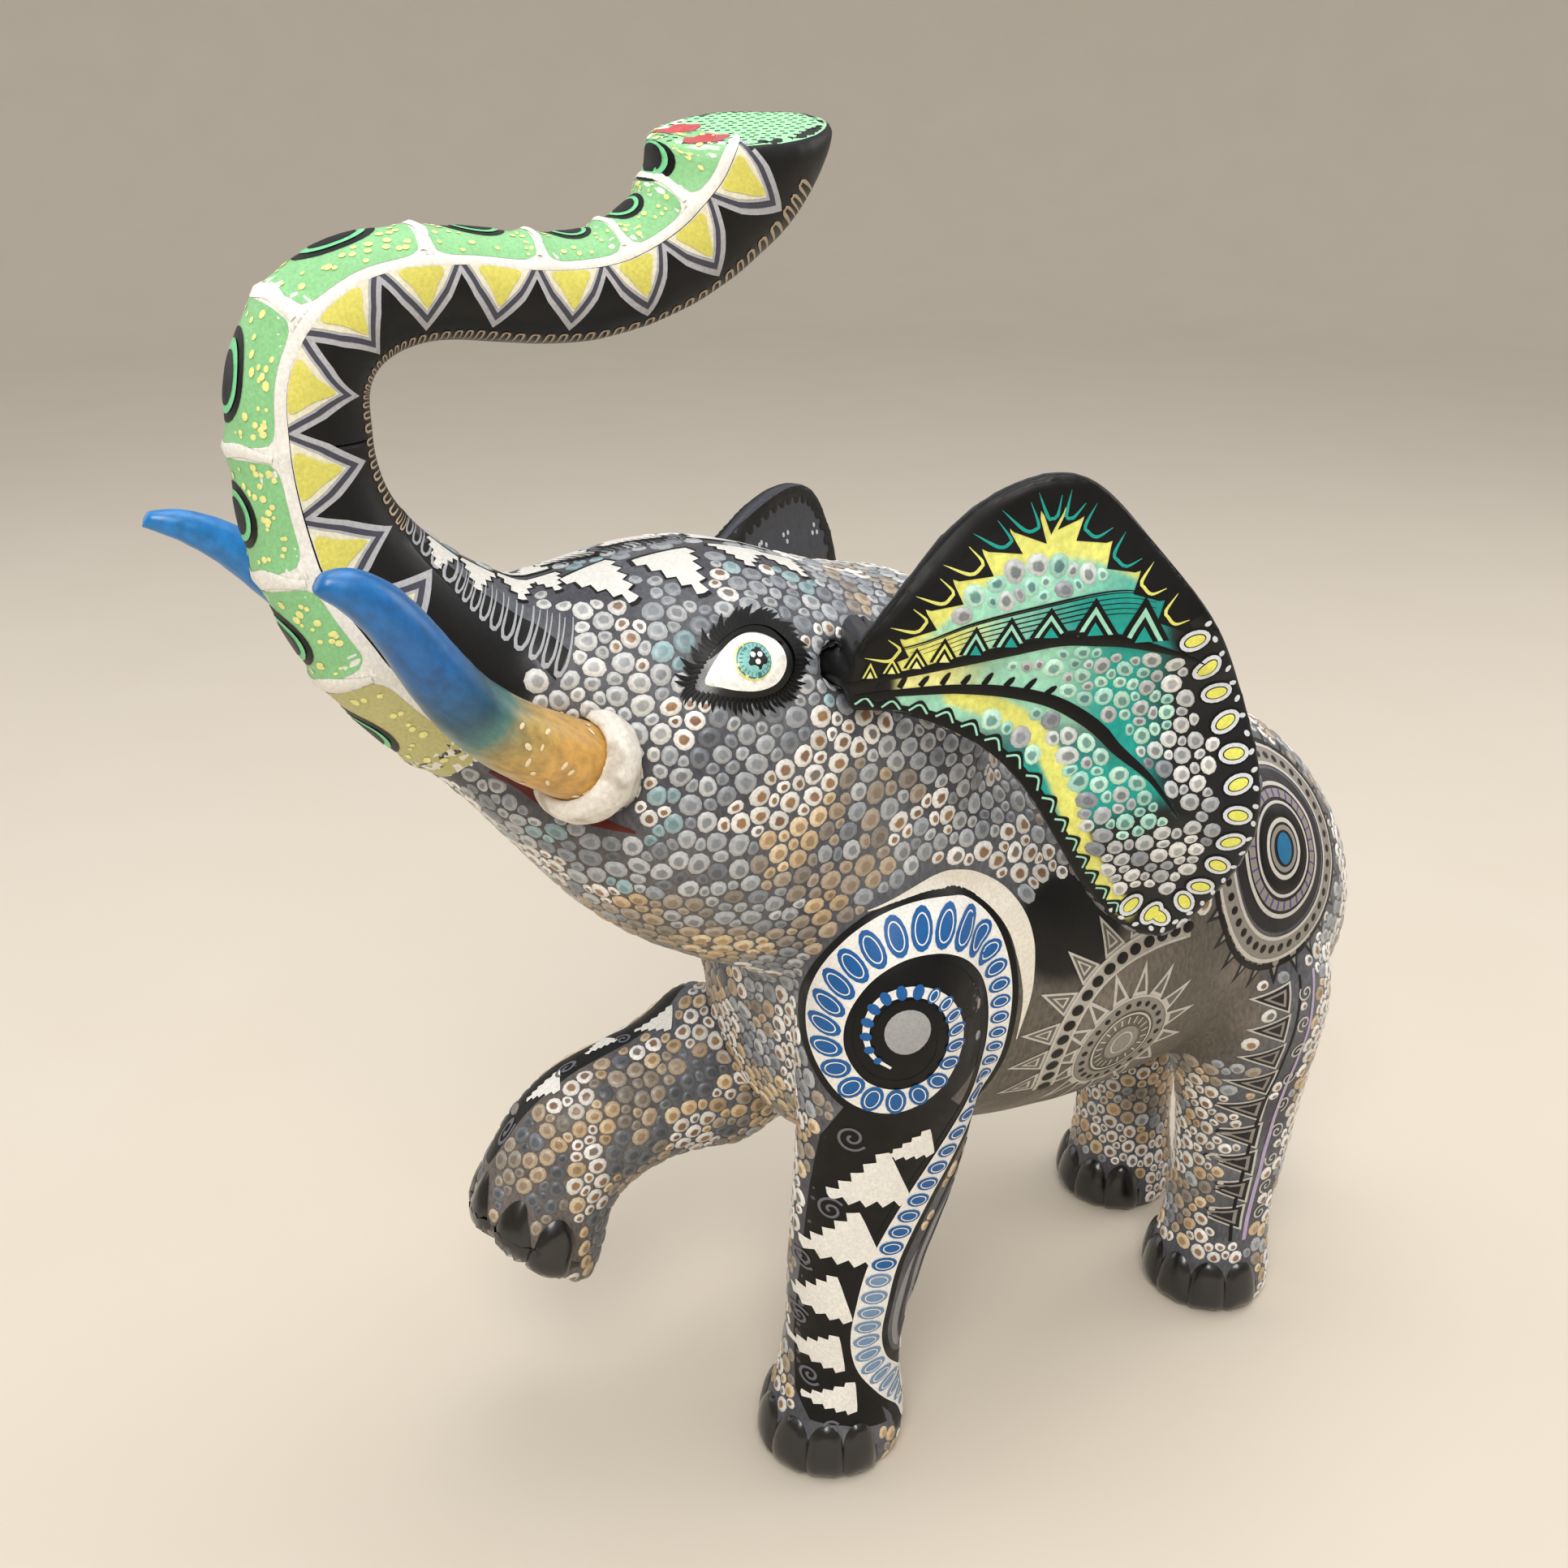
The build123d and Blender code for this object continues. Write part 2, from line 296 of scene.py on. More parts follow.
def dot(paint, centre, size, turn, place, colour, layer, sides=10, dome=0.1):
    # size is the two half widths, turn in degrees
    c, s = math.cos(math.radians(turn)), math.sin(math.radians(turn))
    spots = [place(*centre)]
    for i in range(sides):
        a = 2 * math.pi * i / sides
        u, v = size[0] * math.cos(a), size[1] * math.sin(a)
        spots.append(place(centre[0] + u * c - v * s, centre[1] + u * s + v * c))
    heights = [coat * (layer + 1) + dome] + [coat * (layer + 1)] * sides
    faces = [[0, 1 + i, 1 + (i + 1) % sides] for i in range(sides)]
    if max(size) > 1.5:
        for i in range(sides):
            a = 2 * math.pi * i / sides
            u, v = size[0] * math.cos(a) * 0.5, size[1] * math.sin(a) * 0.5
            spots.append(place(centre[0] + u * c - v * s, centre[1] + u * s + v * c))
            heights.append(coat * (layer + 1) + dome * 0.8)
        inner = 1 + sides
        faces = [[0, inner + i, inner + (i + 1) % sides] for i in range(sides)]
        faces += [[inner + i, 1 + i, 1 + (i + 1) % sides, inner + (i + 1) % sides] for i in range(sides)]
    lay(paint, spots, faces, colour, heights)


def ring(paint, centre, size, width, turn, place, colour, layer, sides=14, part=(0, 360)):
    c, s = math.cos(math.radians(turn)), math.sin(math.radians(turn))
    path = []
    for i in range(sides + 1):
        a = math.radians(part[0] + (part[1] - part[0]) * i / sides)
        u, v = size[0] * math.cos(a), size[1] * math.sin(a)
        path.append((centre[0] + u * c - v * s, centre[1] + u * s + v * c))
    stroke(paint, path, width, place, colour, layer)


def paintPiece(name, paint, body, material):
    used = sorted({i for face in paint["faces"] for i in face})
    index = {old: new for new, old in enumerate(used)}
    mesh = bpy.data.meshes.new(name)
    mesh.from_pydata([paint["points"][i] * mm for i in used], [],
                     [[index[i] for i in face] for face in paint["faces"]])
    setPointColours(mesh, "paint", np.array([paint["colours"][i] for i in used]))
    mesh.validate()
    return finishPiece(name, mesh, body, material)


# middle lines of the trunk and the raised foreleg, as the solids were drawn

trunk = Tube([(-100, 230, 24), (-120, 241, 38), (-137, 257, 57), (-148, 276, 76), (-151, 296, 90),
              (-149, 311, 118), (-138, 322, 152), (-118, 325, 180), (-98, 323, 180), (-78, 325, 160),
              (-62, 334, 138), (-53, 344, 118), (-48, 356.5, 92)])
raisedLeg = Tube([(-38, 96, -4), (-58, 95, -6), (-76, 91, -14), (-89, 84, -34), (-97, 72, -50),
                  (-101, 61, -50), (-103.5, 55, -48)], x=-32.0)

carving = {
    "grain": 1.35,        # mm between points of the carved skin
    "sanding": 12,
    "seam": 296.0,        # height of the glued seam across the trunk
    "seamWidth": 0.35,
    "knuckles": [24, 45, 66, 88, 110, 134, 158, 180, 200],  # mm along the trunk
    "knuckleRise": 0.9,
    "tipSlant": 0.27,     # fall of the cut end, per mm across
}

hide = {
    "slate": "#47474E", "slateLight": "#6F7378", "taupe": "#5B554D", "taupeLight": "#7A7268",
    "black": "#0B0B0C", "sole": "#2A2826", "chin": "#6E6459", "belly": "#EDEBE4",
}


def bump(points, centre, radius, stretch=(1, 1, 1)):
    away = (points - np.array(centre)) / np.array(stretch)
    return np.exp(-(away ** 2).sum(1) / (radius * radius))


def carveFigure():
    # head, torso, legs and trunk carved as one, then parted at the glued seam
    points, quads = carve("figure", ["body", "trunk_upper", "trunk_dowel", "raised_foreleg"],
                                 carving["grain"], carving["sanding"])
    out = normalsOf(points, quads)
    side = np.where(points[:, 0] > 0, 1.0, -1.0)
    mirrored = points * np.column_stack([side, np.ones(len(points)), np.ones(len(points))])
    rise = np.zeros(len(points))
    # eyeball inside its lids, a soft brow over it and a cheek under it
    rise += 1.5 * bump(mirrored, (38, -68, 245), 7.5, (1, 1.25, 1))
    rise -= 0.9 * bump(mirrored, (36, -80, 243), 6)
    rise += 1.3 * bump(mirrored, (33, -66, 257), 8, (1, 1.6, 0.7))
    rise += 1.2 * bump(mirrored, (44, -78, 222), 13)
    # mouth: a slit with a full lower lip
    for at, deep in zip(smoothLine([(13, -128, 224), (19, -123, 220.5), (27, -113, 216.5),
                                    (35, -101, 213)], 1.2),
                        np.linspace(1, 0.8, 60)):
        rise -= 0.5 * deep * bump(mirrored, at, 1.9)
    rise += 1.0 * bump(mirrored, (20, -118, 213), 8, (1, 1.6, 0.6))
    # shoulder blade, knee and haunch
    rise += 1.6 * bump(mirrored, (52, -30, 158), 20)
    rise += 1.0 * bump(mirrored, (44, -36, 62), 11)
    rise += 1.5 * bump(mirrored, (44, 104, 128), 24)
    # folds where the legs meet the belly
    rise -= 1.2 * bump(mirrored, (34, 6, 96), 7, (1, 0.7, 2.4))
    rise -= 1.2 * bump(mirrored, (34, 80, 96), 7, (1, 0.7, 2.2))
    # knuckles across the belly side of the trunk
    onTrunk = (points[:, 1] < -100) | (points[:, 2] > 290)
    along, angle = trunk.nearest(points[onTrunk])[:2]
    belly = blendIn(np.sin(np.radians(angle)), 0.1, 0.75) * blendIn(along, 16, 24)
    ridge = sum(np.exp(-((along - at) / 2.3) ** 2) for at in carving["knuckles"])
    rise[onTrunk] += carving["knuckleRise"] * ridge * belly
    # gouge marks, low and broad, left under the paint
    rough = np.array([noise.noise(Vector(p) / 9.0) for p in points.tolist()])
    rise += 0.22 * rough
    points += out * rise[:, None]
    # the end of the trunk is cut on a slant, lowest on its front left
    slant = points[:, 0] * 0.87 - (points[:, 1] + 48) * 0.5 + 4
    points[:, 2] -= blendIn(points[:, 2], 336, 356.5) * carving["tipSlant"] * np.clip(slant, -18, 30)
    points[:, 2] = np.maximum(points[:, 2], 0.0)
    return points, quads


def partAtSeam(points, quads, keepAbove):
    shape = bmesh.new()
    for p in points.tolist():
        shape.verts.new(p)
    shape.verts.ensure_lookup_table()
    seam = carving["seam"] + (0.5 if keepAbove else -0.5) * carving["seamWidth"]
    high = points[:, 2] > carving["seam"]
    wanted = high[quads].any(1) if keepAbove else (~high[quads]).any(1)
    for quad in quads[wanted].tolist():
        shape.faces.new([shape.verts[i] for i in quad])
    bmesh.ops.delete(shape, geom=[v for v in shape.verts if not v.link_faces], context="VERTS")
    bmesh.ops.bisect_plane(shape, geom=shape.verts[:] + shape.edges[:] + shape.faces[:], dist=1e-4,
                           plane_co=(0, 0, seam), plane_no=(0, 0, 1),
                           clear_outer=not keepAbove, clear_inner=keepAbove)
    rim = [e for e in shape.edges if e.is_boundary]
    bmesh.ops.holes_fill(shape, edges=rim)
    return shape


def splitLeg(shape):
    # the raised foreleg parts from the shoulder where its own solid meets the body
    trees = {}
    for node in ("body", "raised_foreleg"):
        solid = bmesh.new()
        solid.from_mesh(nodes[node].data)
        trees[node] = BVHTree.FromBMesh(solid)
        solid.free()
    low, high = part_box("raised_foreleg")
    shape.faces.index_update()
    legFaces = set()
    for face in shape.faces:
        middle = face.calc_center_median() * mm
        if all(low[i] - 0.003 < middle[i] < high[i] + 0.003 for i in range(3)):
            if trees["raised_foreleg"].find_nearest(middle)[3] < trees["body"].find_nearest(middle)[3]:
                legFaces.add(face.index)
    leg = shape.copy()
    for one, drop in ((shape, True), (leg, False)):
        one.faces.ensure_lookup_table()
        gone = [f for f in one.faces if (f.index in legFaces) == drop]
        bmesh.ops.delete(one, geom=gone, context="FACES")
        bmesh.ops.holes_fill(one, edges=[e for e in one.edges if e.is_boundary])
    return leg


print("carving")
figurePoints, figureQuads = carveFigure()
figureTree = treeOf(figurePoints, figureQuads)
figureNormals = normalsOf(figurePoints, figureQuads)
print("figure", len(figurePoints))


# materials

def addNode(tree, kind, place, settings=None, inputs=None):
    # one node with its settings, and a value or a link for each named input
    node = tree.nodes.new(kind)
    node.location = place
    for name, value in (settings or {}).items():
        setattr(node, name, value)
    for socket, value in (inputs or {}).items():
        if isinstance(value, bpy.types.NodeSocket):
            tree.links.new(value, node.inputs[socket])
        else:
            node.inputs[socket].default_value = value
    return node


def startMaterial(name):
    material = bpy.data.materials.new(name)
    material.use_nodes = True
    material.node_tree.nodes.clear()
    return material, material.node_tree


def endMaterial(tree, colour, roughness, height, distance, shine):
    bumped = addNode(tree, "ShaderNodeBump", (200, -300),
                     inputs={"Height": height, "Strength": shine["bump"], "Distance": distance * mm})
    surface = addNode(tree, "ShaderNodeBsdfPrincipled", (420, 0),
                      inputs={"Base Color": colour, "Roughness": roughness, "IOR": shine["ior"],
                              "Coat Weight": shine["coat"], "Coat Roughness": shine["coatRoughness"],
                                      "Specular IOR Level": shine["specular"],
                              "Normal": bumped.outputs["Normal"]})
    addNode(tree, "ShaderNodeOutputMaterial", (700, 0), inputs={"Surface": surface.outputs["BSDF"]})


acrylic = {"ior": 1.49, "coat": 0.25, "coatRoughness": 0.28, "specular": 0.5, "bump": 0.35}


def brushedAcrylic(name, look):
    # acrylic brushed on carved copal: streaks about a bristle wide, thin spots, a satin varnish
    material, tree = startMaterial(name)
    place = addNode(tree, "ShaderNodeTexCoord", (-1300, 0))
    paint = addNode(tree, "ShaderNodeAttribute", (-900, 260), {"attribute_name": "paint"})
    stretch = addNode(tree, "ShaderNodeMapping", (-1100, 0),
                      inputs={"Vector": place.outputs["Object"], "Scale": look["streak"]})
    streaks = addNode(tree, "ShaderNodeTexNoise", (-900, 60),
                      inputs={"Vector": stretch.outputs["Vector"], "Scale": 1 / (look["bristle"] * mm),
                              "Detail": 4.0, "Roughness": 0.6})
    cloud = addNode(tree, "ShaderNodeTexNoise", (-900, -160),
                    inputs={"Vector": place.outputs["Object"], "Scale": 1 / (look["cloud"] * mm),
                            "Detail": 3.0})
    lighter = addNode(tree, "ShaderNodeHueSaturation", (-600, 260),
                      inputs={"Color": paint.outputs["Color"], "Value": look["light"]})
    darker = addNode(tree, "ShaderNodeHueSaturation", (-600, 100),
                     inputs={"Color": paint.outputs["Color"], "Value": look["dark"]})
    shade = addNode(tree, "ShaderNodeMapRange", (-600, -60),
                    inputs={"Value": streaks.outputs["Fac"], "From Min": 0.32, "From Max": 0.68})
    drift = addNode(tree, "ShaderNodeMapRange", (-600, -260),
                    inputs={"Value": cloud.outputs["Fac"], "From Min": 0.3, "From Max": 0.7,
                            "To Min": 0.35, "To Max": 0.65})
    both = addNode(tree, "ShaderNodeMath", (-400, -120), {"operation": "MULTIPLY"},
                   {0: shade.outputs["Result"], 1: drift.outputs["Result"]})
    twice = addNode(tree, "ShaderNodeMath", (-240, -120), {"operation": "MULTIPLY", "use_clamp": True},
                    {0: both.outputs["Value"], 1: 2.0})
    colour = addNode(tree, "ShaderNodeMix", (-60, 160), {"data_type": "RGBA"},
                     {"Factor": twice.outputs["Value"], 6: darker.outputs["Color"],
                      7: lighter.outputs["Color"]})
    rough = addNode(tree, "ShaderNodeMapRange", (-60, -60),
                    inputs={"Value": cloud.outputs["Fac"], "From Min": 0.3, "From Max": 0.7,
                            "To Min": look["gloss"][0], "To Max": look["gloss"][1]})
    endMaterial(tree, colour.outputs[2], rough.outputs["Result"], streaks.outputs["Fac"],
                look["ridge"], acrylic | {key: look[key] for key in ("coat", "specular") if key in look})
    return material


hidePaint = brushedAcrylic("brushedHideAcrylic", {
    "streak": (1.0, 1.0, 0.45), "bristle": 1.1, "cloud": 14, "light": 1.35, "dark": 0.72,
    "gloss": (0.42, 0.6), "ridge": 0.12, "coat": 0.1, "specular": 0.3})
trunkPaint = brushedAcrylic("blackTrunkAcrylic", {
    "streak": (1.0, 1.0, 0.5), "bristle": 1.0, "cloud": 10, "light": 1.25, "dark": 0.8,
    "gloss": (0.4, 0.58), "ridge": 0.1, "coat": 0.1, "specular": 0.3})
earPaint = brushedAcrylic("earAcrylic", {
    "streak": (1.0, 0.5, 0.5), "bristle": 1.0, "cloud": 9, "light": 1.15, "dark": 0.82,
    "gloss": (0.4, 0.58), "ridge": 0.1, "coat": 0.12, "specular": 0.3})
linePaint = brushedAcrylic("finebrushAcrylic", {
    "streak": (1.0, 1.0, 1.0), "bristle": 0.8, "cloud": 6, "light": 1.08, "dark": 0.86,
    "gloss": (0.42, 0.6), "ridge": 0.07, "coat": 0.08, "specular": 0.24})
tuskPaint = brushedAcrylic("blendedTuskAcrylic", {
    "streak": (1.0, 0.35, 0.35), "bristle": 1.2, "cloud": 8, "light": 1.2, "dark": 0.75,
    "gloss": (0.3, 0.46), "ridge": 0.14, "coat": 0.35})
nailPaint = brushedAcrylic("glossEnamel", {
    "streak": (1.0, 1.0, 1.0), "bristle": 1.5, "cloud": 7, "light": 1.3, "dark": 0.8,
    "gloss": (0.12, 0.26), "ridge": 0.06, "coat": 0.7})
fillerPaint = brushedAcrylic("whiteWoodFiller", {
    "streak": (1.0, 1.0, 1.0), "bristle": 1.3, "cloud": 5, "light": 1.05, "dark": 0.8,
    "gloss": (0.5, 0.75), "ridge": 0.3, "coat": 0.0})


def dabAcrylic():
    # thick dabs set down with a round brush: a paler rim, a darker wet middle, a rounded gloss
    material, tree = startMaterial("raisedDabAcrylic")
    place = addNode(tree, "ShaderNodeTexCoord", (-1300, 0))
    rim = addNode(tree, "ShaderNodeAttribute", (-900, 300), {"attribute_name": "rim"})
    middle = addNode(tree, "ShaderNodeAttribute", (-900, 120), {"attribute_name": "middle"})
    spread = addNode(tree, "ShaderNodeAttribute", (-900, -60), {"attribute_name": "spread"})
    wobble = addNode(tree, "ShaderNodeTexNoise", (-900, -240),
                     inputs={"Vector": place.outputs["Object"], "Scale": 1 / (1.1 * mm), "Detail": 2.0})
    shaken = addNode(tree, "ShaderNodeMath", (-700, -240), {"operation": "MULTIPLY_ADD"},
                     {0: wobble.outputs["Fac"], 1: 0.34, 2: -0.17})
    edge = addNode(tree, "ShaderNodeMath", (-540, -120), {"operation": "ADD"},
                   {0: spread.outputs["Fac"], 1: shaken.outputs["Value"]})
    ringed = addNode(tree, "ShaderNodeMapRange", (-380, -120),
                     inputs={"Value": edge.outputs["Value"], "From Min": 0.4, "From Max": 0.56})
    worn = addNode(tree, "ShaderNodeMapRange", (-380, -320),
                   inputs={"Value": edge.outputs["Value"], "From Min": 0.92, "From Max": 1.12})
    toned = addNode(tree, "ShaderNodeMix", (-180, 160), {"data_type": "RGBA"},
                    {"Factor": ringed.outputs["Result"], 6: middle.outputs["Color"],
                     7: rim.outputs["Color"]})
    under = addNode(tree, "ShaderNodeMix", (0, 160), {"data_type": "RGBA"},
                    {"Factor": worn.outputs["Result"], 6: toned.outputs[2],
                     7: (*linear(hide["slate"]), 1)})
    fine = addNode(tree, "ShaderNodeTexNoise", (-380, -520),
                   inputs={"Vector": place.outputs["Object"], "Scale": 1 / (0.9 * mm), "Detail": 3.0})
    drift = addNode(tree, "ShaderNodeMapRange", (-180, -400),
                    inputs={"Value": fine.outputs["Fac"], "From Min": 0.3, "From Max": 0.7,
                            "To Min": 0.84, "To Max": 1.14})
    colour = addNode(tree, "ShaderNodeHueSaturation", (180, 160),
                     inputs={"Color": under.outputs[2], "Value": drift.outputs["Result"]})
    rough = addNode(tree, "ShaderNodeMapRange", (0, -200),
                    inputs={"Value": fine.outputs["Fac"], "From Min": 0.3, "From Max": 0.7,
                            "To Min": 0.3, "To Max": 0.5})
    endMaterial(tree, colour.outputs["Color"], rough.outputs["Result"], fine.outputs["Fac"], 0.08, acrylic)
    return material


def beechDowel():
    # turned beech: pale, with short flecks along the grain
    material, tree = startMaterial("beechDowel")
    place = addNode(tree, "ShaderNodeTexCoord", (-900, 0))
    along = addNode(tree, "ShaderNodeMapping", (-700, 0),
                    inputs={"Vector": place.outputs["Object"], "Scale": (1.0, 1.0, 0.12)})
    grain = addNode(tree, "ShaderNodeTexNoise", (-500, 0),
                    inputs={"Vector": along.outputs["Vector"], "Scale": 1 / (0.8 * mm), "Detail": 4.0})
    tint = addNode(tree, "ShaderNodeMix", (-200, 100), {"data_type": "RGBA"},
                   {"Factor": grain.outputs["Fac"], 6: (*linear("#B98A5A"), 1),
                    7: (*linear("#E0BC8C"), 1)})
    rough = addNode(tree, "ShaderNodeMapRange", (-200, -100),
                    inputs={"Value": grain.outputs["Fac"], "To Min": 0.5, "To Max": 0.75})
    endMaterial(tree, tint.outputs[2], rough.outputs["Result"], grain.outputs["Fac"], 0.1,
                {"ior": 1.5, "coat": 0.0, "coatRoughness": 0.3, "specular": 0.5, "bump": 0.4})
    return material


dabPaint = dabAcrylic()
dowelWood = beechDowel()
nodes["trunk_dowel"].data.materials.clear()
nodes["trunk_dowel"].data.materials.append(dowelWood)


# ground colours brushed over the carved skin before any marks

def mixInto(colours, code, share):
    colours += (np.array(linear(code)) - colours) * np.clip(share, 0, 1)[:, None]


def hideColours(points):
    colours = np.tile(linear(hide["slate"]), (len(points), 1))
    side = np.abs(points[:, 0])
    y, z = points[:, 1], points[:, 2]
    cloud = np.array([noise.noise(Vector(p) / 22.0 + Vector((3, 9, 1))) for p in points.tolist()])
    mixInto(colours, hide["slateLight"], 0.25 + 0.7 * cloud)
    flank = (1 - blendIn(np.hypot((y - 38) / 62, (z - 118) / 52), 0.8, 1.05)) * blendIn(side, 8, 26)
    mixInto(colours, hide["taupe"], flank)
    mixInto(colours, hide["taupeLight"], flank * blendIn(cloud, 0.0, 0.5) * 0.7)
    mixInto(colours, hide["chin"], 0.6 * (1 - blendIn(z + y * 0.25, 150, 200)) * blendIn(-y, 55, 90))
    # painted shade: a black patch on the neck under the back of the left ear, where the ear's shadow falls
    # (left side only)
    paintedEarShade = bump(np.column_stack([side, y, z]), (50, 20, 163), 17, (1.5, 1.2, 1))
    mixInto(colours, hide["black"], blendIn(paintedEarShade, 0.3, 0.6) * (points[:, 0] > 0))
    along, angle, away = trunk.nearest(points)
    onTrunk = ((y < -112) & (z > 240)) | (z > 290)
    black = onTrunk & (away < 32) & (z > 232)
    share = np.maximum(blendIn(along, 58, 63), blendIn(along, 14, 20) * blendIn(angle, -48, -40))
    mixInto(colours, hide["black"], share * black)
    belly = black * blendIn(along, 14, 20) * blendIn(np.sin(np.radians(angle)), 0.5, 0.56)
    mixInto(colours, hide["belly"], belly)
    mixInto(colours, hide["sole"], 1 - blendIn(z, 0.4, 1.2))
    return colours


def shapeToPiece(name, shape, body, material, replaced):
    bmesh.ops.triangulate(shape, faces=[f for f in shape.faces if len(f.verts) > 4])
    bmesh.ops.recalc_face_normals(shape, faces=shape.faces)
    mesh = bpy.data.meshes.new(name)
    shape.to_mesh(mesh)
    shape.free()
    points = np.empty(len(mesh.vertices) * 3)
    mesh.vertices.foreach_get("co", points)
    points = points.reshape(-1, 3)
    setPointColours(mesh, "paint", hideColours(points))
    mesh.vertices.foreach_set("co", (points * mm).ravel())
    return finishPiece(name, mesh, body, material, replaced)


lowerShape = partAtSeam(figurePoints, figureQuads, False)
upperShape = partAtSeam(figurePoints, figureQuads, True)
legShape = splitLeg(lowerShape)
shapeToPiece("carvedBody", lowerShape, "figure", hidePaint, ["body"])
shapeToPiece("carvedForeleg", legShape, "figure", hidePaint, ["raised_foreleg"])
shapeToPiece("carvedTrunk", upperShape, "figure", trunkPaint, ["trunk_upper"])
print("figure pieces made")


# where marks are laid: flat from one direction, or round a limb

def flatOn(tree, origin, out, right, side=1, reach=45):
    # u runs to the right and v up, as the mark is seen from outside the left side
    mirror = Vector((side, 1, 1))
    out = Vector(out).normalized()
    right = (Vector(right) - out * out.dot(Vector(right))).normalized()
    up = out.cross(right) * mirror
    out, right, origin = out * mirror, right * mirror, Vector(origin) * mirror

    def place(u, v):
        hit, normal, index, far = tree.ray_cast(origin + right * u + up * v + out * reach, -out,
                                                reach * 1.7)
        return hit, normal
    return place


def roundLimb(limb, tree, side=1, radius=13.0):
    # u runs along the limb, v round it from its left side towards its belly side, on a mean radius
    def place(along, around):
        middle, belly = limb.at(along)
        angle = around / radius
        way = Vector((math.cos(angle) * side, 0, 0)) + belly * math.sin(angle)
        hit, normal, index, far = tree.ray_cast(middle, way, 45)
        return hit, normal
    return place


def roundFoot(tree, x, y, radius=19.0):
    # u runs round the foot from its outer side, anticlockwise from above, and v is the height
    def place(around, height):
        angle = around / radius
        hit, normal, index, far = tree.ray_cast(Vector((x, y, height)),
                                                Vector((math.cos(angle), math.sin(angle), 0)), 40)
        return hit, normal
    return place


def jaggedLeaf(tip, turn, length, width, steps=5):
    # a stepped leaf: its edge climbs in notches from the tip to the stem
    upper = []
    for i in range(steps):
        upper.append((length * (i + 0.1) / steps, width * 0.5 * (i + 1) / steps))
        upper.append((length * (i + 0.95) / steps, width * 0.5 * (i + 0.62) / steps))
    outline = [(0, 0)] + upper + [(length, width * 0.3), (length, -width * 0.3)]
    outline += [(u, -v) for u, v in reversed(upper)]
    c, s = math.cos(math.radians(turn)), math.sin(math.radians(turn))
    return [(tip[0] + u * c - v * s, tip[1] + u * s + v * c) for u, v in outline]


def curl(centre, size, turns, start=0, hand=1):
    # a small spiral, from its middle outwards
    return [(centre[0] + size * t * math.cos(hand * (turns * 2 * math.pi * t + start)),
             centre[1] + size * t * math.sin(hand * (turns * 2 * math.pi * t + start)))
            for t in np.linspace(0.12, 1, int(10 * turns) + 3)]


clearMarks = []  # points that the skin's dabs keep away from


def finishMarks(name, paint, body, material=None):
    clearMarks.extend(p for p, n in zip(paint["points"], paint["normals"]) if n is not None)
    return paintPiece(name, paint, body, material or linePaint)


# tusks, collars and tail

def carvedPiece(name, node, grain, rounds, body, material, colouring, knocked=0.0):
    points, quads = carve(name, [node], grain, rounds)
    if knocked:
        rough = np.array([noise.noise(Vector(p) / 3.2) for p in points.tolist()])
        points = points + normalsOf(points, quads) * (rough * knocked)[:, None]
    mesh = bpy.data.meshes.new(name)
    mesh.from_pydata((points * mm).tolist(), [], quads.tolist())
    setPointColours(mesh, "paint", colouring(points))
    finishPiece(name, mesh, body, material, [node])
    return points, quads


tuskRoot = [(24, -91, 216), (30, -104, 225), (34, -117, 233)]
tusks = {
    "left": {"dabs": "#F0DDB6",
             "line": tuskRoot + [(38, -131, 244), (41, -141, 257), (43, -150, 270), (44, -162, 277)],
             "bands": [(0, "#E9E6DE"), (0.13, "#E9E6DE"), (0.15, "#C08F3C"), (0.36, "#CDA055"),
                       (0.47, "#B39653"),
                       (0.54, "#4A7770"), (0.61, "#1F4E62"), (0.72, "#0B5C9C"), (1, "#0C6BB0")]},
    "right": {"dabs": "#F0DDB6",
              "line": [(-x, y, z) for x, y, z in tuskRoot + [(39, -131, 241), (44, -145, 252),
                                                            (46, -158, 264), (47, -177, 273)]],
              "bands": [(0, "#E9E6DE"), (0.13, "#E9E6DE"), (0.15, "#C08F3C"), (0.26, "#C99C4C"),
                        (0.38, "#4D7A7C"), (0.5, "#0E6AAE"), (1, "#0E7AC4")]},
}


def tuskColours(points, look):
    line = smoothLine(look["line"], 1.0)
    far = ((points[:, None, :] - line[None]) ** 2).sum(2)
    share = far.argmin(1) / (len(line) - 1)
    streak = np.array([noise.noise(Vector((p[0] / 4, p[1] / 11, p[2] / 11))) for p in points.tolist()])
    share = np.clip(share + 0.045 * streak, 0, 1)
    stops = np.array([s for s, code in look["bands"]])
    tones = np.array([linear(code) for s, code in look["bands"]])
    return np.column_stack([np.interp(share, stops, tones[:, i]) for i in range(3)])


def collarColours(points):
    colours = np.tile(linear("#E9E4DA"), (len(points), 1))
    grime = np.array([noise.noise(Vector(p) / 4.0) for p in points.tolist()])
    mixInto(colours, "#A89B86", blendIn(grime, 0.1, 0.6) * 0.6)
    return colours


def tailColours(points):
    colours = np.tile(linear(hide["slate"]), (len(points), 1))
    mixInto(colours, hide["black"], 1 - blendIn(points[:, 2], 58, 70))
    return colours


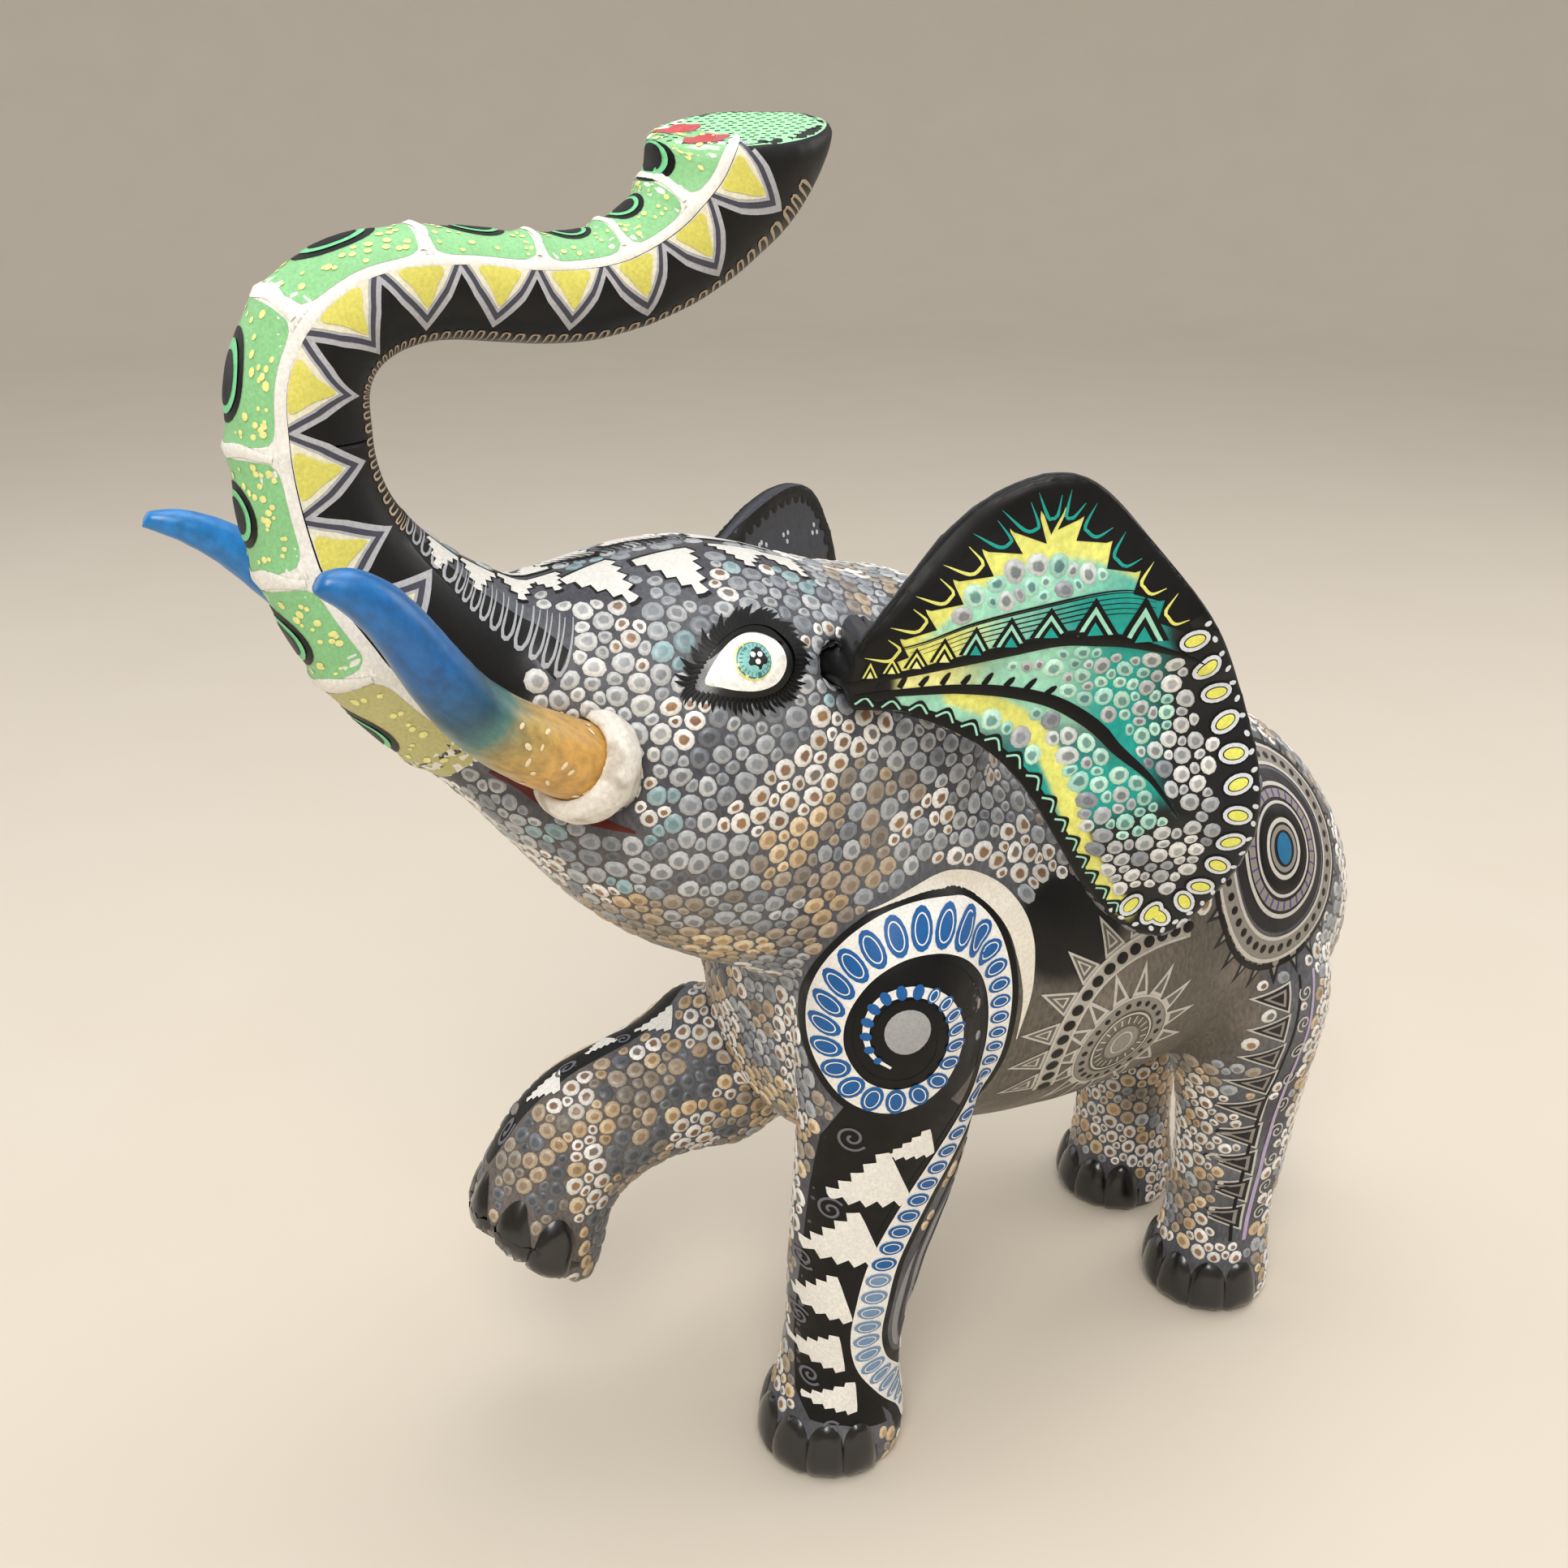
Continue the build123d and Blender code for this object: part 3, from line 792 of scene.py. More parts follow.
for side, look in tusks.items():
    found = carvedPiece(side + "Tusk", side + "_tusk", 0.8, 4, "figure", tuskPaint,
                        lambda points: tuskColours(points, look), 0.12)
    tree = treeOf(*found)
    dabs = newPaint()
    line = smoothLine(look["line"], 1.0)
    for i in range(34):
        centre = Vector(line[int(len(line) * (0.2 + 0.3 * dice.uniform() ** 1.3))])
        angle = dice.uniform(0, 2 * math.pi)
        way = Vector((math.cos(angle), 0.3 * math.sin(angle), math.sin(angle)))
        spot = tree.ray_cast(centre, way, 20)
        if spot[0] is not None:
            right = spot[1].orthogonal().normalized()
            flat = flatOn(tree, spot[0], spot[1], right, reach=3)
            dot(dabs, (0, 0), (dice.uniform(0.5, 1.3), dice.uniform(0.4, 0.7)), dice.uniform(0, 180), flat,
                linear(look["dabs"]), 1, sides=8, dome=0.15)
    paintPiece(side + "TuskDabs", dabs, "figure", linePaint)
    carvedPiece(side + "TuskFiller", side + "_tusk_collar", 0.8, 7, "figure", fillerPaint,
                collarColours, 0.16)
carvedPiece("carvedTail", "tail", 0.8, 5, "tail", hidePaint, tailColours, 0.1)
print("tusks, fillers and tail made")
# trunk: toothed border, spotted belly strip, comb of dashes and the cut end

trunkLook = {
    "teeth": 11, "toothFrom": 44, "toothTo": 220, "toothBase": 5.2, "toothTip": -9.8,
    "silver": "#B4B4B8", "toothGrey": "#4A4A55", "cream": "#E8E4CC", "yellow": "#DCD56A",
    "white": "#EDEBE4", "green": "#8FCB8F", "spot": "#F0EE9A", "ringGreen": "#7ED69A",
    "black": "#070708", "dash": "#B9A68C", "scallop": "#A9ACB0",
    "ovals": [34, 56, 77, 99, 122, 146, 169, 188, 204],
    "tipGreen": "#A6E8B0", "red": "#C0101A", "olive": "#C3BF83",
}


def paintTrunk():
    look = trunkLook
    tone = {key: linear(code) for key, code in look.items() if isinstance(code, str)}
    strip = newPaint()
    spots = newPaint()
    teeth = newPaint()
    comb = newPaint()
    across = roundLimb(trunk, figureTree)
    stroke(strip, [(19, 20.4), (60, 20.4), (120, 20.4), (180, 20.4), (221.5, 20.4)], 27.0, across,
           tone["white"], 0, step=1.6, swell=0)
    ends = [18] + carving["knuckles"][1:] + [222]
    for low, high in zip(ends[:-1], ends[1:]):
        low, high = low + 1.3, high - 1.2
        outline = smoothLine([(low, 12), (low, 20), (low, 29), (low + 1.5, 32.6), ((low + high) / 2, 33.2),
                              (high - 1.5, 32.6), (high, 29), (high, 20), (high, 12), (high - 1.5, 8.2),
                              ((low + high) / 2, 7.6), (low + 1.5, 8.2)], 1.4, closed=True)
        green = tone["green"] if low > 30 else tone["olive"]
        fill(strip, outline, across, green, 1, step=2.2)
        for i in range(60):
            at = (dice.uniform(low + 0.8, high - 0.8), dice.uniform(8.8, 32.0))
            if min(math.hypot((at[0] - o) / 6.6, (at[1] - 20.4) / 6.8) for o in look["ovals"]) > 1.05:
                dot(spots, at, (dice.uniform(0.35, 0.75),) * 2, 0, across, tone["spot"], 3, sides=7,
                    dome=0.12)
    for at in look["ovals"]:
        for size, key, layer in ((1.0, "black", 3), (0.76, "ringGreen", 5), (0.56, "black", 7)):
            shape = [(at + 6.0 * size * math.cos(a), 20.4 + 6.2 * size * math.sin(a))
                     for a in np.linspace(0, 2 * math.pi, 25)[:-1]]
            fill(strip, shape, across, tone[key], layer, step=1.8)
    for at in carving["knuckles"][1:]:
        stroke(strip, [(at - 0.8, 8.5), (at + 0.6, 15), (at, 20.4), (at + 0.6, 26), (at - 0.8, 32.3)], 2.4,
               across,
               tone["white"], 2, tips=(0.5, 0.5), swell=0.35)
    for side in (1, -1):
        place = roundLimb(trunk, figureTree, side)
        stroke(strip, [(19, 6.4), (60, 6.6), (120, 6.2), (180, 6.4), (221.5, 6.4)], 2.1, place,
               tone["white"], 3, step=1.6, swell=0.3)
        pitch = (look["toothTo"] - look["toothFrom"]) / look["teeth"]
        for i in range(look["teeth"]):
            at = look["toothFrom"] + pitch * (i + 0.5)
            half = pitch * 0.5 + 0.9
            for inset, key, layer in ((0.0, "silver", 1), (1.5, "toothGrey", 2), (2.9, "silver", 3),
                                      (3.6, "cream", 4)):
                base, tip = look["toothBase"], look["toothTip"] + inset * 1.5
                wide = half - inset * 0.72
                middle = (base + tip) / 2
                fill(teeth, [(at - wide, base), (at - wide * 0.62, middle + 0.4), (at, tip),
                             (at + wide * 0.62, middle + 0.4), (at + wide, base)], place, tone[key], layer)
            shape = smoothLine([(at - 4.4, 4.7), (at + 0.4, 5.0), (at + 4.2, 4.4), (at + 2.4, 0.6),
                                (at + 0.2, -3.6), (at - 2.4, 0.8)], 0.9, closed=True)
            fill(teeth, shape, place, tone["yellow"], 6, step=1.5, dome=0.1)
        stroke(teeth, [(66, -21), (62, -13.5), (45, -11), (28, -9.5), (14, -6)], 3.4, place, tone["black"],
               0)
        at = 64.0
        while at < 218:
            long = 4.2 + 0.7 * math.sin(at * 1.7) + 2.0 * float(blendIn(at, 190, 215))
            top = -11.4 + 0.8 * float(blendIn(at, 190, 210))
            stroke(comb, [(at, top - long), (at + 0.1, top - 0.4), (at + 0.75, top), (at + 1.4, top - 0.4),
                          (at + 1.5, top - long)], 0.62, place, tone["dash"], 1, step=0.9, tips=(0.4, 0.4))
            at += 2.9
        # long scallops on the head side of the black band
        for i in range(15):
            at = 62 - i * 3.4
            top = -12.2 + 0.15 * (62 - at)
            stroke(comb, [(at - 1.0, top - 6.2), (at - 1.15, top - 1), (at, top + 0.1),
                          (at + 1.15, top - 1),
                          (at + 1.0, top - 6.2)], 0.7, place, tone["scallop"], 1, step=0.9, tips=(0.4, 0.4))
    finishMarks("trunkBellyStrip", strip, "figure")
    finishMarks("trunkSpots", spots, "figure")
    finishMarks("trunkTeeth", teeth, "figure")
    finishMarks("trunkComb", comb, "figure")
    # the cut end: green with short ticks, and two red nostrils
    end = newPaint()
    top = flatOn(figureTree, (0, -48, 356), (0, 0, 1), (1, 0, 0))
    fill(end, [(13.0 * math.cos(a), 21.0 * math.sin(a)) for a in np.linspace(0, 2 * math.pi, 45)[:-1]],
         top, tone["tipGreen"], 0, step=2.4)
    for row in range(-9, 10):
        for column in range(-6, 7):
            u = column * 2.0 + (row % 2) + dice.uniform(-0.3, 0.3)
            v = row * 2.1 + dice.uniform(-0.3, 0.3)
            if math.hypot(u / 12.2, v / 20) < 1 and min(math.hypot(u - 4.5, (v + 11) / 2),
                                                         math.hypot(u + 4.5, (v + 13) / 2)) > 2.9:
                stroke(end, [(u - 0.15, v - 0.55), (u + 0.15, v + 0.55)], 0.42, top, tone["black"], 1,
                       step=0.6)
    finishMarks("trunkCutEnd", end, "figure")
    nostrils = newPaint()
    for u, v in ((4.5, -11), (-4.5, -13)):
        shape = [(u + (2.9 + 0.5 * math.sin(5 * a)) * math.cos(a),
                  v + (5.6 + 0.6 * math.sin(3 * a + u)) * math.sin(a))
                 for a in np.linspace(0, 2 * math.pi, 25)[:-1]]
        fill(nostrils, shape, top, tone["red"], 2, step=1.3, dome=0.25)
    finishMarks("nostrilEnamel", nostrils, "figure", nailPaint)


# face: painted eyes with lashes, mouth and jagged leaves over the brow

faceLook = {
    "white": "#EFEDE6", "iris": "#7DBCB4", "irisRim": "#3E747A", "glow": "#DCD98A", "black": "#060606",
    "mouth": "#5A1512", "leaf": "#E9E7E0",
    "lids": [(-10.4, -2.2), (-7.4, 1.6), (-3.2, 4.7), (1.8, 6.0), (6.2, 4.9), (9.0, 1.4), (8.7, -2.2),
             (5.6, -5.2), (1.0, -6.1), (-3.8, -5.3), (-7.4, -3.9)],
}


def scaled(outline, size, about=(0.0, 0.0)):
    return [(about[0] + (u - about[0]) * size, about[1] + (v - about[1]) * size) for u, v in outline]


def paintFace():
    look = faceLook
    tone = {key: linear(code) for key, code in look.items() if isinstance(code, str)}
    eyes = newPaint()
    lashes = newPaint()
    leaves = newPaint()
    mouth = newPaint()
    for side in (1, -1):
        place = flatOn(figureTree, (38, -68, 245), (0.87, -0.08, 0.48), (0, 1, 0), side)
        lids = smoothLine([(u * 1.04, v * 1.14) for u, v in look["lids"]], 0.9, closed=True)
        fill(eyes, scaled(lids, 1.3), place, tone["black"], 1)
        fill(eyes, scaled(lids, 0.96), place, tone["white"], 3, step=1.5, dome=0.25)
        for centre, size, key, layer in (((0.7, -0.1), 4.5, "glow", 6), ((0.9, 0), 4.1, "irisRim", 7),
                                         ((1.0, 0.05), 3.8, "iris", 8), ((1.4, 0.2), 2.7, "black", 9)):
            fill(eyes, [(centre[0] + size * math.cos(a), centre[1] + size * math.sin(a))
                        for a in np.linspace(0, 2 * math.pi, 25)[:-1]], place, tone[key], layer, step=1.4,
                        dome=0.2)
        for i in range(22):
            a = i / 22 * 2 * math.pi
            stroke(eyes, [(1.0 + 2.8 * math.cos(a), 0.05 + 2.8 * math.sin(a)),
                          (1.0 + 3.6 * math.cos(a), 0.05 + 3.6 * math.sin(a))], 0.22, place,
                   tone["irisRim"], 10, step=0.5)
        # painted highlights: three white dots over the iris and pupil
        for at in ((0.7, 1.2), (2.3, 1.0), (1.5, -0.5)):
            dot(eyes, at, (0.62, 0.62), 0, place, tone["white"], 13, sides=8)
        for i in range(66):
            share = i / 66
            where = int(share * len(lids))
            u, v = lids[where]
            out = math.atan2(v * 1.5, u)
            upper = v > -1.5
            long = dice.uniform(3.4, 5.6) if upper else dice.uniform(2.6, 4.4)
            lean = 0.35 if upper else -0.25
            root = (u * 1.18, v * 1.18)
            stroke(lashes, [root, (root[0] + long * 0.5 * math.cos(out),
                                   root[1] + long * 0.5 * math.sin(out)),
                            (root[0] + long * math.cos(out - lean), root[1] + long * math.sin(out - lean))],
                   1.15 if upper else 0.85, place, tone["black"], 8, tips=(1, 0.15), step=0.8)
        shape = smoothLine([(-8.5, 2.4), (-4, 6.2), (1.5, 8.0), (6.8, 6.8), (10, 2.6), (8.4, 3.4), (4, 6.0),
                            (-1, 6.3), (-5.5, 3.8)], 0.9, closed=True)
        fill(lashes, shape, place, tone["black"], 6)
        # mouth: a dark red line inside the carved slit
        cheek = flatOn(figureTree, (27, -113, 216), (0.85, -0.3, -0.3), (0.2, 0.9, -0.2), side)
        stroke(mouth, [(-13, 3.4), (-6, 1.6), (0, 0), (6, -0.6), (13, -1.0), (20, -0.6)], 3.0, cheek,
               tone["mouth"], 1,
               tips=(0.3, 0.2))
        # jagged leaves on the brow and down the root of the trunk
        crown = flatOn(figureTree, (8, -80, 262), (0.3, -0.1, 1), (0, 1, 0), side)
        for tip, turn, length, width in (((-7, -14), 108, 18, 15), ((8, -18), 96, 20, 16),
                                         ((24, -10), 80, 14, 14),
                                         ((38, -12), 100, 14, 12)):
            middle = (tip[0] + length * 0.5 * math.cos(math.radians(turn)),
                      tip[1] + length * 0.5 * math.sin(math.radians(turn)))
            leaf = jaggedLeaf(tip, turn, length, width)
            fill(leaves, scaled(leaf, 1.1, middle), crown, tone["black"], 1)
            fill(leaves, scaled(leaf, 0.98, middle), crown, tone["leaf"], 2)
        root = flatOn(figureTree, (8, -116, 262), (0.45, -0.1, 0.9), (0, 1, 0), side)
        for tip, turn, length, width in (((-12, -1), 62, 9, 7), ((-4, -4), 70, 10, 8), ((6, -5), 80, 10, 9),
                                         ((15, -4), 95, 9, 8)):
            middle = (tip[0] + length * 0.5 * math.cos(math.radians(turn)),
                      tip[1] + length * 0.5 * math.sin(math.radians(turn)))
            leaf = jaggedLeaf(tip, turn, length, width, 4)
            fill(leaves, scaled(leaf, 1.16, middle), root, tone["black"], 1)
            fill(leaves, scaled(leaf, 0.96, middle), root, tone["leaf"], 2)
    # a comb of short strokes over the brow
    brow = flatOn(figureTree, (0, -80, 262), (0, 0, 1), (0, 1, 0))
    for i in range(20):
        u = -14 + i * 1.7
        stroke(lashes, [(u, 0.5), (u - 1.2, 4.0), (u - 3.0, 7.0)], 0.6, brow, tone["black"], 6,
               tips=(1, 0.2))
    finishMarks("eyePaint", eyes, "figure", nailPaint)
    paintPiece("lashes", lashes, "figure", linePaint)
    finishMarks("mouthPaint", mouth, "figure")
    finishMarks("browLeaves", leaves, "figure")


# shoulder spiral running down the foreleg

shoulderLook = {
    "black": "#070708", "white": "#EFEDE8", "blue": "#1E5E9F", "paleBlue": "#9FB9CC", "grey": "#A4A5A6",
    "cream": "#E6E0D2", "leaf": "#EDEBE4", "curlGrey": "#6C6C74",
    "feather": "#8E8E92", "barb": "#3C3C42",
    # across, height, width of the band, from the hoof up and round into the middle
    "band": [(18, 9, 2.5), (16.5, 18, 4.8), (11.6, 28, 7), (6.8, 38, 8.3), (5.2, 48, 8.6), (6.3, 60, 8.6),
             (9, 74, 8.3), (14.5, 88, 7.8), (21, 101, 7.2), (28, 113, 6.6), (34.5, 124, 6.0),
             (37.6, 136, 5.8), (37.6, 152, 7), (32.5, 166, 9),
             (23, 173.5, 10.2), (11, 174, 10.6), (0.5, 167.5, 10.2), (-6, 156, 9.4), (-6.5, 144, 9.4),
             (0, 134, 9.6), (10, 130.5, 9.4), (19.5, 133.5, 8), (24.5, 141, 6.4), (25, 150, 5.4),
             (21, 158, 4.8),
             (13.5, 161.5, 4.4), (6, 159, 4), (2.8, 152, 3.6), (4.2, 145, 2.8), (9, 141, 1.8)],
}


def paintShoulder():
    look = shoulderLook
    tone = {key: linear(code) for key, code in look.items() if isinstance(code, str)}
    ground = newPaint()
    band = newPaint()
    petals = newPaint()
    leaves = newPaint()
    for side in (1, -1):
        place = flatOn(figureTree, (28, -33, 0), (0.87, -0.5, 0), (0.5, 0.87, 0), side)
        path = look["band"] if side > 0 else look["band"][11:]
        fill(ground, [(13.5 + 26.5 * math.cos(a), 151 + 27.5 * math.sin(a))
                      for a in np.linspace(0, 2 * math.pi, 49)[:-1]], place, tone["black"], 0)
        stroke(ground, [(u, v, w + 3.6) for u, v, w in path[:24]], 0, place, tone["black"], 1, swell=0)
        stroke(band, path, 0, place, tone["white"], 3, tips=(1, 0.4), swell=0)
        dense = smoothLine(path, 0.6)
        run = np.concatenate([[0], np.cumsum(np.linalg.norm(np.diff(dense[:, :2], axis=0), axis=1))])
        at = 3.0
        while at < run[-1] - 4:
            u, v, w = (np.interp(at, run, dense[:, i]) for i in range(3))
            ahead = [np.interp(at + 0.6, run, dense[:, i]) - np.interp(at - 0.6, run,
                                                                       dense[:, i]) for i in range(2)]
            turn = math.degrees(math.atan2(ahead[1], ahead[0])) + 90
            long = w * 0.43
            wide = min(2.75, 0.3 + w * 0.25)
            blue = tone["blue"] if v > 70 else [0.5 * (a + b) for a,
                                                b in zip(tone["blue"], tone["paleBlue"])]
            dot(petals, (u, v), (long, wide), turn, place, blue, 5, sides=14, dome=0.04)
            if w > 4.6:
                ring(petals, (u, v), (long * 0.68, wide * 0.62), 0.3, turn, place, tone["white"], 7,
                     sides=12)
            at += 2.5 + w * 0.36
        dot(ground, (12.8, 151), (8.0, 8.6), 0, place, tone["black"], 4, sides=26, dome=0)
        fill(band, [(12.8 + 5.7 * math.cos(a), 151 + 6.1 * math.sin(a))
                    for a in np.linspace(0, 2 * math.pi, 25)[:-1]], place, tone["grey"], 5, dome=0.1)
        stroke(band, [(43.6, 134, 1.5), (45.6, 150, 4.2), (42.4, 167, 5.6), (32, 178.6, 5.2),
                      (19, 182.2, 4), (3, 179, 1.8)],
               0, place, tone["cream"], 1, tips=(0.2, 0.2), swell=0.1)
        if side < 0:
            continue
        # black field beside the band, with jagged leaves and grey curls
        fill(ground, [(-2, 128), (-8, 116), (-10.5, 98), (-12, 80), (-13.5, 62), (-14.5, 44), (-14, 26),
                      (-10, 19),
                      (0, 18), (12, 14), (8, 30), (2, 45), (3, 60), (6, 74), (11, 88), (18, 101), (25, 113),
                      (28, 122), (24, 128), (12, 124)], place, tone["black"], 0)
        stroke(ground, [(22, 14, 3), (21, 28, 7), (17.5, 42, 9), (17.5, 56, 9), (20.5, 70, 8), (26, 84, 6),
                        (31, 95, 3)],
               0, place, tone["feather"], 0, tips=(0.3, 0.2), swell=0)
        for tip, turn, length, width in (((8, 112), 10, 13, 10), ((-6, 98), 20, 20, 20),
                                         ((-13, 78), 20, 20, 20),
                                         ((-16.5, 59), 16, 16.5, 17), ((-16.5, 41), 8, 15.5, 14),
                                         ((-12.5, 26), 4, 15.5, 11)):
            fill(leaves, jaggedLeaf(tip, turn, length, width), place, tone["leaf"], 2, dome=0.1)
        for centre, size, hand in (((0, 118), 4.2, 1), ((-5, 93), 3.8, -1), ((-12, 73), 3.2, 1),
                                   ((-13, 52), 3.2, -1), ((-10, 33), 3.2, 1), ((-4, 17), 2.6, -1)):
            stroke(leaves, curl(centre, size, 1.8, 0.6, hand), 0.75, place, tone["curlGrey"], 2, step=0.9)
        # grey feather strokes behind the band
        dense = smoothLine([(u, v) for u, v, w in look["band"][1:9]], 1.6)
        for i, (u, v) in enumerate(dense):
            for off in (9.0, 12.4):
                stroke(leaves, [(u + off, v - 2.0), (u + off + 1.4, v), (u + off + 1.8, v + 2.4)], 0.8,
                       place,
                       tone["barb"], 2, tips=(0.3, 0.3), step=0.9)
    finishMarks("shoulderBlack", ground, "figure")
    finishMarks("shoulderBand", band, "figure")
    finishMarks("shoulderPetals", petals, "figure")
    finishMarks("forelegLeaves", leaves, "figure")


# flank and rump: translucent wheels of dots, dashes and rays

flankLook = {
    "black": "#0D0C0C", "white": "#C9C5BD", "pale": "#8F8A82", "dim": "#6B655D", "violet": "#5A4A8A",
    "blue": "#1F6E9A", "dark": "#242226", "bead": "#B4AFA4",
}


def rays(paint, centre, inner, outer, count, place, colour, layer, squash=1.0, part=(0, 360), hollow=None):
    for i in range(count):
        a = math.radians(part[0] + (part[1] - part[0]) * (i + 0.5) / count)
        half = math.radians((part[1] - part[0]) / count * 0.46)
        corners = []
        for angle, far in ((a - half, inner), (a, outer), (a + half, inner)):
            corners.append((centre[0] + far * math.cos(angle) * squash, centre[1] + far * math.sin(angle)))
        fill(paint, corners, place, colour, layer, step=2.2)
        if hollow is not None:
            middle = [sum(c[k] for c in corners) / 3 for k in (0, 1)]
            fill(paint, scaled(corners, 0.52, middle), place, hollow, layer + 1, step=2.2)


def paintFlank():
    look = flankLook
    tone = {key: linear(code) for key, code in look.items() if isinstance(code, str)}
    wheels = newPaint()
    beads = newPaint()
    for side in (1, -1):
        place = flatOn(figureTree, (30, 0, 0), (1, 0, 0), (0, 1, 0), side, reach=60)
        # belly wheel: pale middle, ring of beads, sunflower rays
        c = (42, 121)
        rays(wheels, c, 16, 27, 15, place, tone["white"], 0, 0.95, hollow=tone["dim"])
        ring(wheels, c, (12.6, 13.6), 4.2, 0, place, tone["pale"], 1, sides=30)
        ring(wheels, c, (15.2, 16.0), 0.6, 0, place, tone["white"], 2, sides=30)
        ring(wheels, c, (9.6, 10.4), 0.6, 0, place, tone["white"], 2, sides=26)
        for i in range(22):
            a = 2 * math.pi * i / 22
            dot(beads, (c[0] + 12.6 * math.cos(a), c[1] + 13.6 * math.sin(a)), (0.95, 0.95), 0, place,
                tone["black"], 3, sides=9)
        for i in range(20):
            a = 2 * math.pi * i / 20
            stroke(beads, [(c[0] + 6.6 * math.cos(a), c[1] + 7 * math.sin(a)),
                           (c[0] + 8.8 * math.cos(a), c[1] + 9.4 * math.sin(a))], 0.5, place,
                           tone["white"], 1)
        fill(wheels, [(c[0] + 5.6 * math.cos(a), c[1] + 6.0 * math.sin(a))
                      for a in np.linspace(0, 2 * math.pi, 21)[:-1]], place, tone["pale"], 1)
        ring(wheels, c, (3.4, 3.8), 0.5, 0, place, tone["white"], 2, sides=16)
        # beaded arc over the wheel, with rays outside it
        arc = [(20.5, 110), (19, 122), (20.5, 134), (26, 144), (35, 150.5), (47, 153.5), (60, 154)]
        stroke(wheels, [(u, v) for u, v in arc], 6.4, place, tone["bead"], 3, swell=0)
        dense = smoothLine(arc, 1.0)
        for off in (-2.7, 2.7):
            ahead = np.gradient(dense, axis=0)
            ahead /= np.linalg.norm(ahead, axis=1)[:, None]
            edge = dense + np.column_stack([-ahead[:, 1], ahead[:, 0]]) * off
            stroke(wheels, [tuple(p) for p in edge[::3]], 0.8, place, tone["white"], 4)
        for p in dense[1::5]:
            dot(beads, p, (1.9, 1.7), 0, place, tone["black"], 6, sides=12)
        for i in range(1, len(dense) - 9, 9):
            a, b = dense[i], dense[i + 8]
            out = np.array([-(b - a)[1], (b - a)[0]]) / np.linalg.norm(b - a)
            corners = [tuple(a + out * 3.2), tuple((a + b) / 2 + out * 15), tuple(b + out * 3.2)]
            middle = [sum(q[k] for q in corners) / 3 for k in (0, 1)]
            for share, key, layer in ((1.0, "white", 1), (0.74, "dim", 2), (0.46, "white", 3),
                                      (0.28, "dim", 4)):
                fill(wheels, scaled(corners, share, middle), place, tone[key], layer)
        # rump wheel: blue spot, dashes, beaded outer ring and dark rays
        haunch = flatOn(figureTree, (46, 100, 165), (0.9, 0.3, 0.42), (0, 1, 0), side)
        c = (0, 0)
        rays(wheels, c, 30, 39, 26, haunch, tone["dark"], 0, 0.9, hollow=tone["pale"])
        ring(wheels, c, (25, 28), 5.2, 0, haunch, tone["pale"], 1, sides=44)
        ring(wheels, c, (28.2, 31.2), 1.1, 0, haunch, tone["white"], 2, sides=44)
        ring(wheels, c, (22.2, 25.2), 1.0, 0, haunch, tone["white"], 2, sides=44)
        ring(wheels, c, (29.8, 33), 1.6, 0, haunch, tone["black"], 1, sides=44)
        for i in range(40):
            a = 2 * math.pi * i / 40
            dot(beads, (25 * math.cos(a), 28 * math.sin(a)), (1.2, 1.2), 0, haunch, tone["black"], 3,
                sides=9)
        fill(wheels, [(20.8 * math.cos(a), 23.6 * math.sin(a)) for a in np.linspace(0, 2 * math.pi,
                                                                                    41)[:-1]],
             haunch, tone["dark"], 0)
        for size, key, width in ((19, "white", 1.2), (16.2, "pale", 2.6), (13.4, "white", 0.9),
                                 (10.6, "black", 2.2),
                                 (8.2, "white", 1.3), (6.0, "pale", 1.4)):
            ring(wheels, c, (size * 0.88, size), width, 0, haunch, tone[key], 2, sides=34)
        for i in range(30):
            a = 2 * math.pi * i / 30
            stroke(beads, [(13.0 * math.cos(a), 14.8 * math.sin(a)),
                           (15.4 * math.cos(a), 17.6 * math.sin(a))],
                   0.9, haunch, tone["violet"], 3, tips=(0.6, 0.6))
        dot(beads, c, (3.3, 4.6), 0, haunch, tone["blue"], 3, sides=18)
        # down the hind leg: zigzag rays, a lilac line and curls
        leg = flatOn(figureTree, (30, 0, 0), (0.96, 0.2, 0), (0, 1, 0), side, reach=60)
        shift = 0 if side > 0 else 9
        for i in range(9):
            v = 120 - i * 10.6
            u = 92 + shift + 3 * math.sin(v / 30)
            corners = [(u + 6, v + 5.2), (u - 6.5, v + 1.5), (u + 6, v - 5.2)]
            middle = [sum(q[k] for q in corners) / 3 for k in (0, 1)]
            for share, key, layer in ((1.0, "white", 1), (0.82, "dark", 2), (0.56, "pale", 3),
                                      (0.34, "dark", 4)):
                fill(wheels, scaled(corners, share, middle), leg, tone[key], layer)
            stroke(beads, curl((u + 12, v), 2.9, 1.6, i, 1 if i % 2 else -1), 0.6, leg, tone["white"], 2,
                   step=0.9)
        stroke(wheels, [(106 + shift, 126), (105 + shift, 90), (103 + shift, 55), (102 + shift, 26)], 1.3,
               leg,
               linear("#B9A8C8"), 1)
        stroke(wheels, [(99.5 + shift, 126), (99 + shift, 90), (98 + shift, 55), (98 + shift, 26)], 0.9,
               leg,
               tone["black"], 1)
    finishMarks("flankWheels", wheels, "figure")
    finishMarks("flankBeads", beads, "figure")


# hooves: domed nails in gloss enamel

hoofLook = {
    "black": "#060607", "feet": [(28, -35), (28, 109), (-28, 118)], "radius": 19.0,
    "nails": [-9, -43, -77, -111, -145], "nailWide": 11.4, "nailTall": 18.0,
}


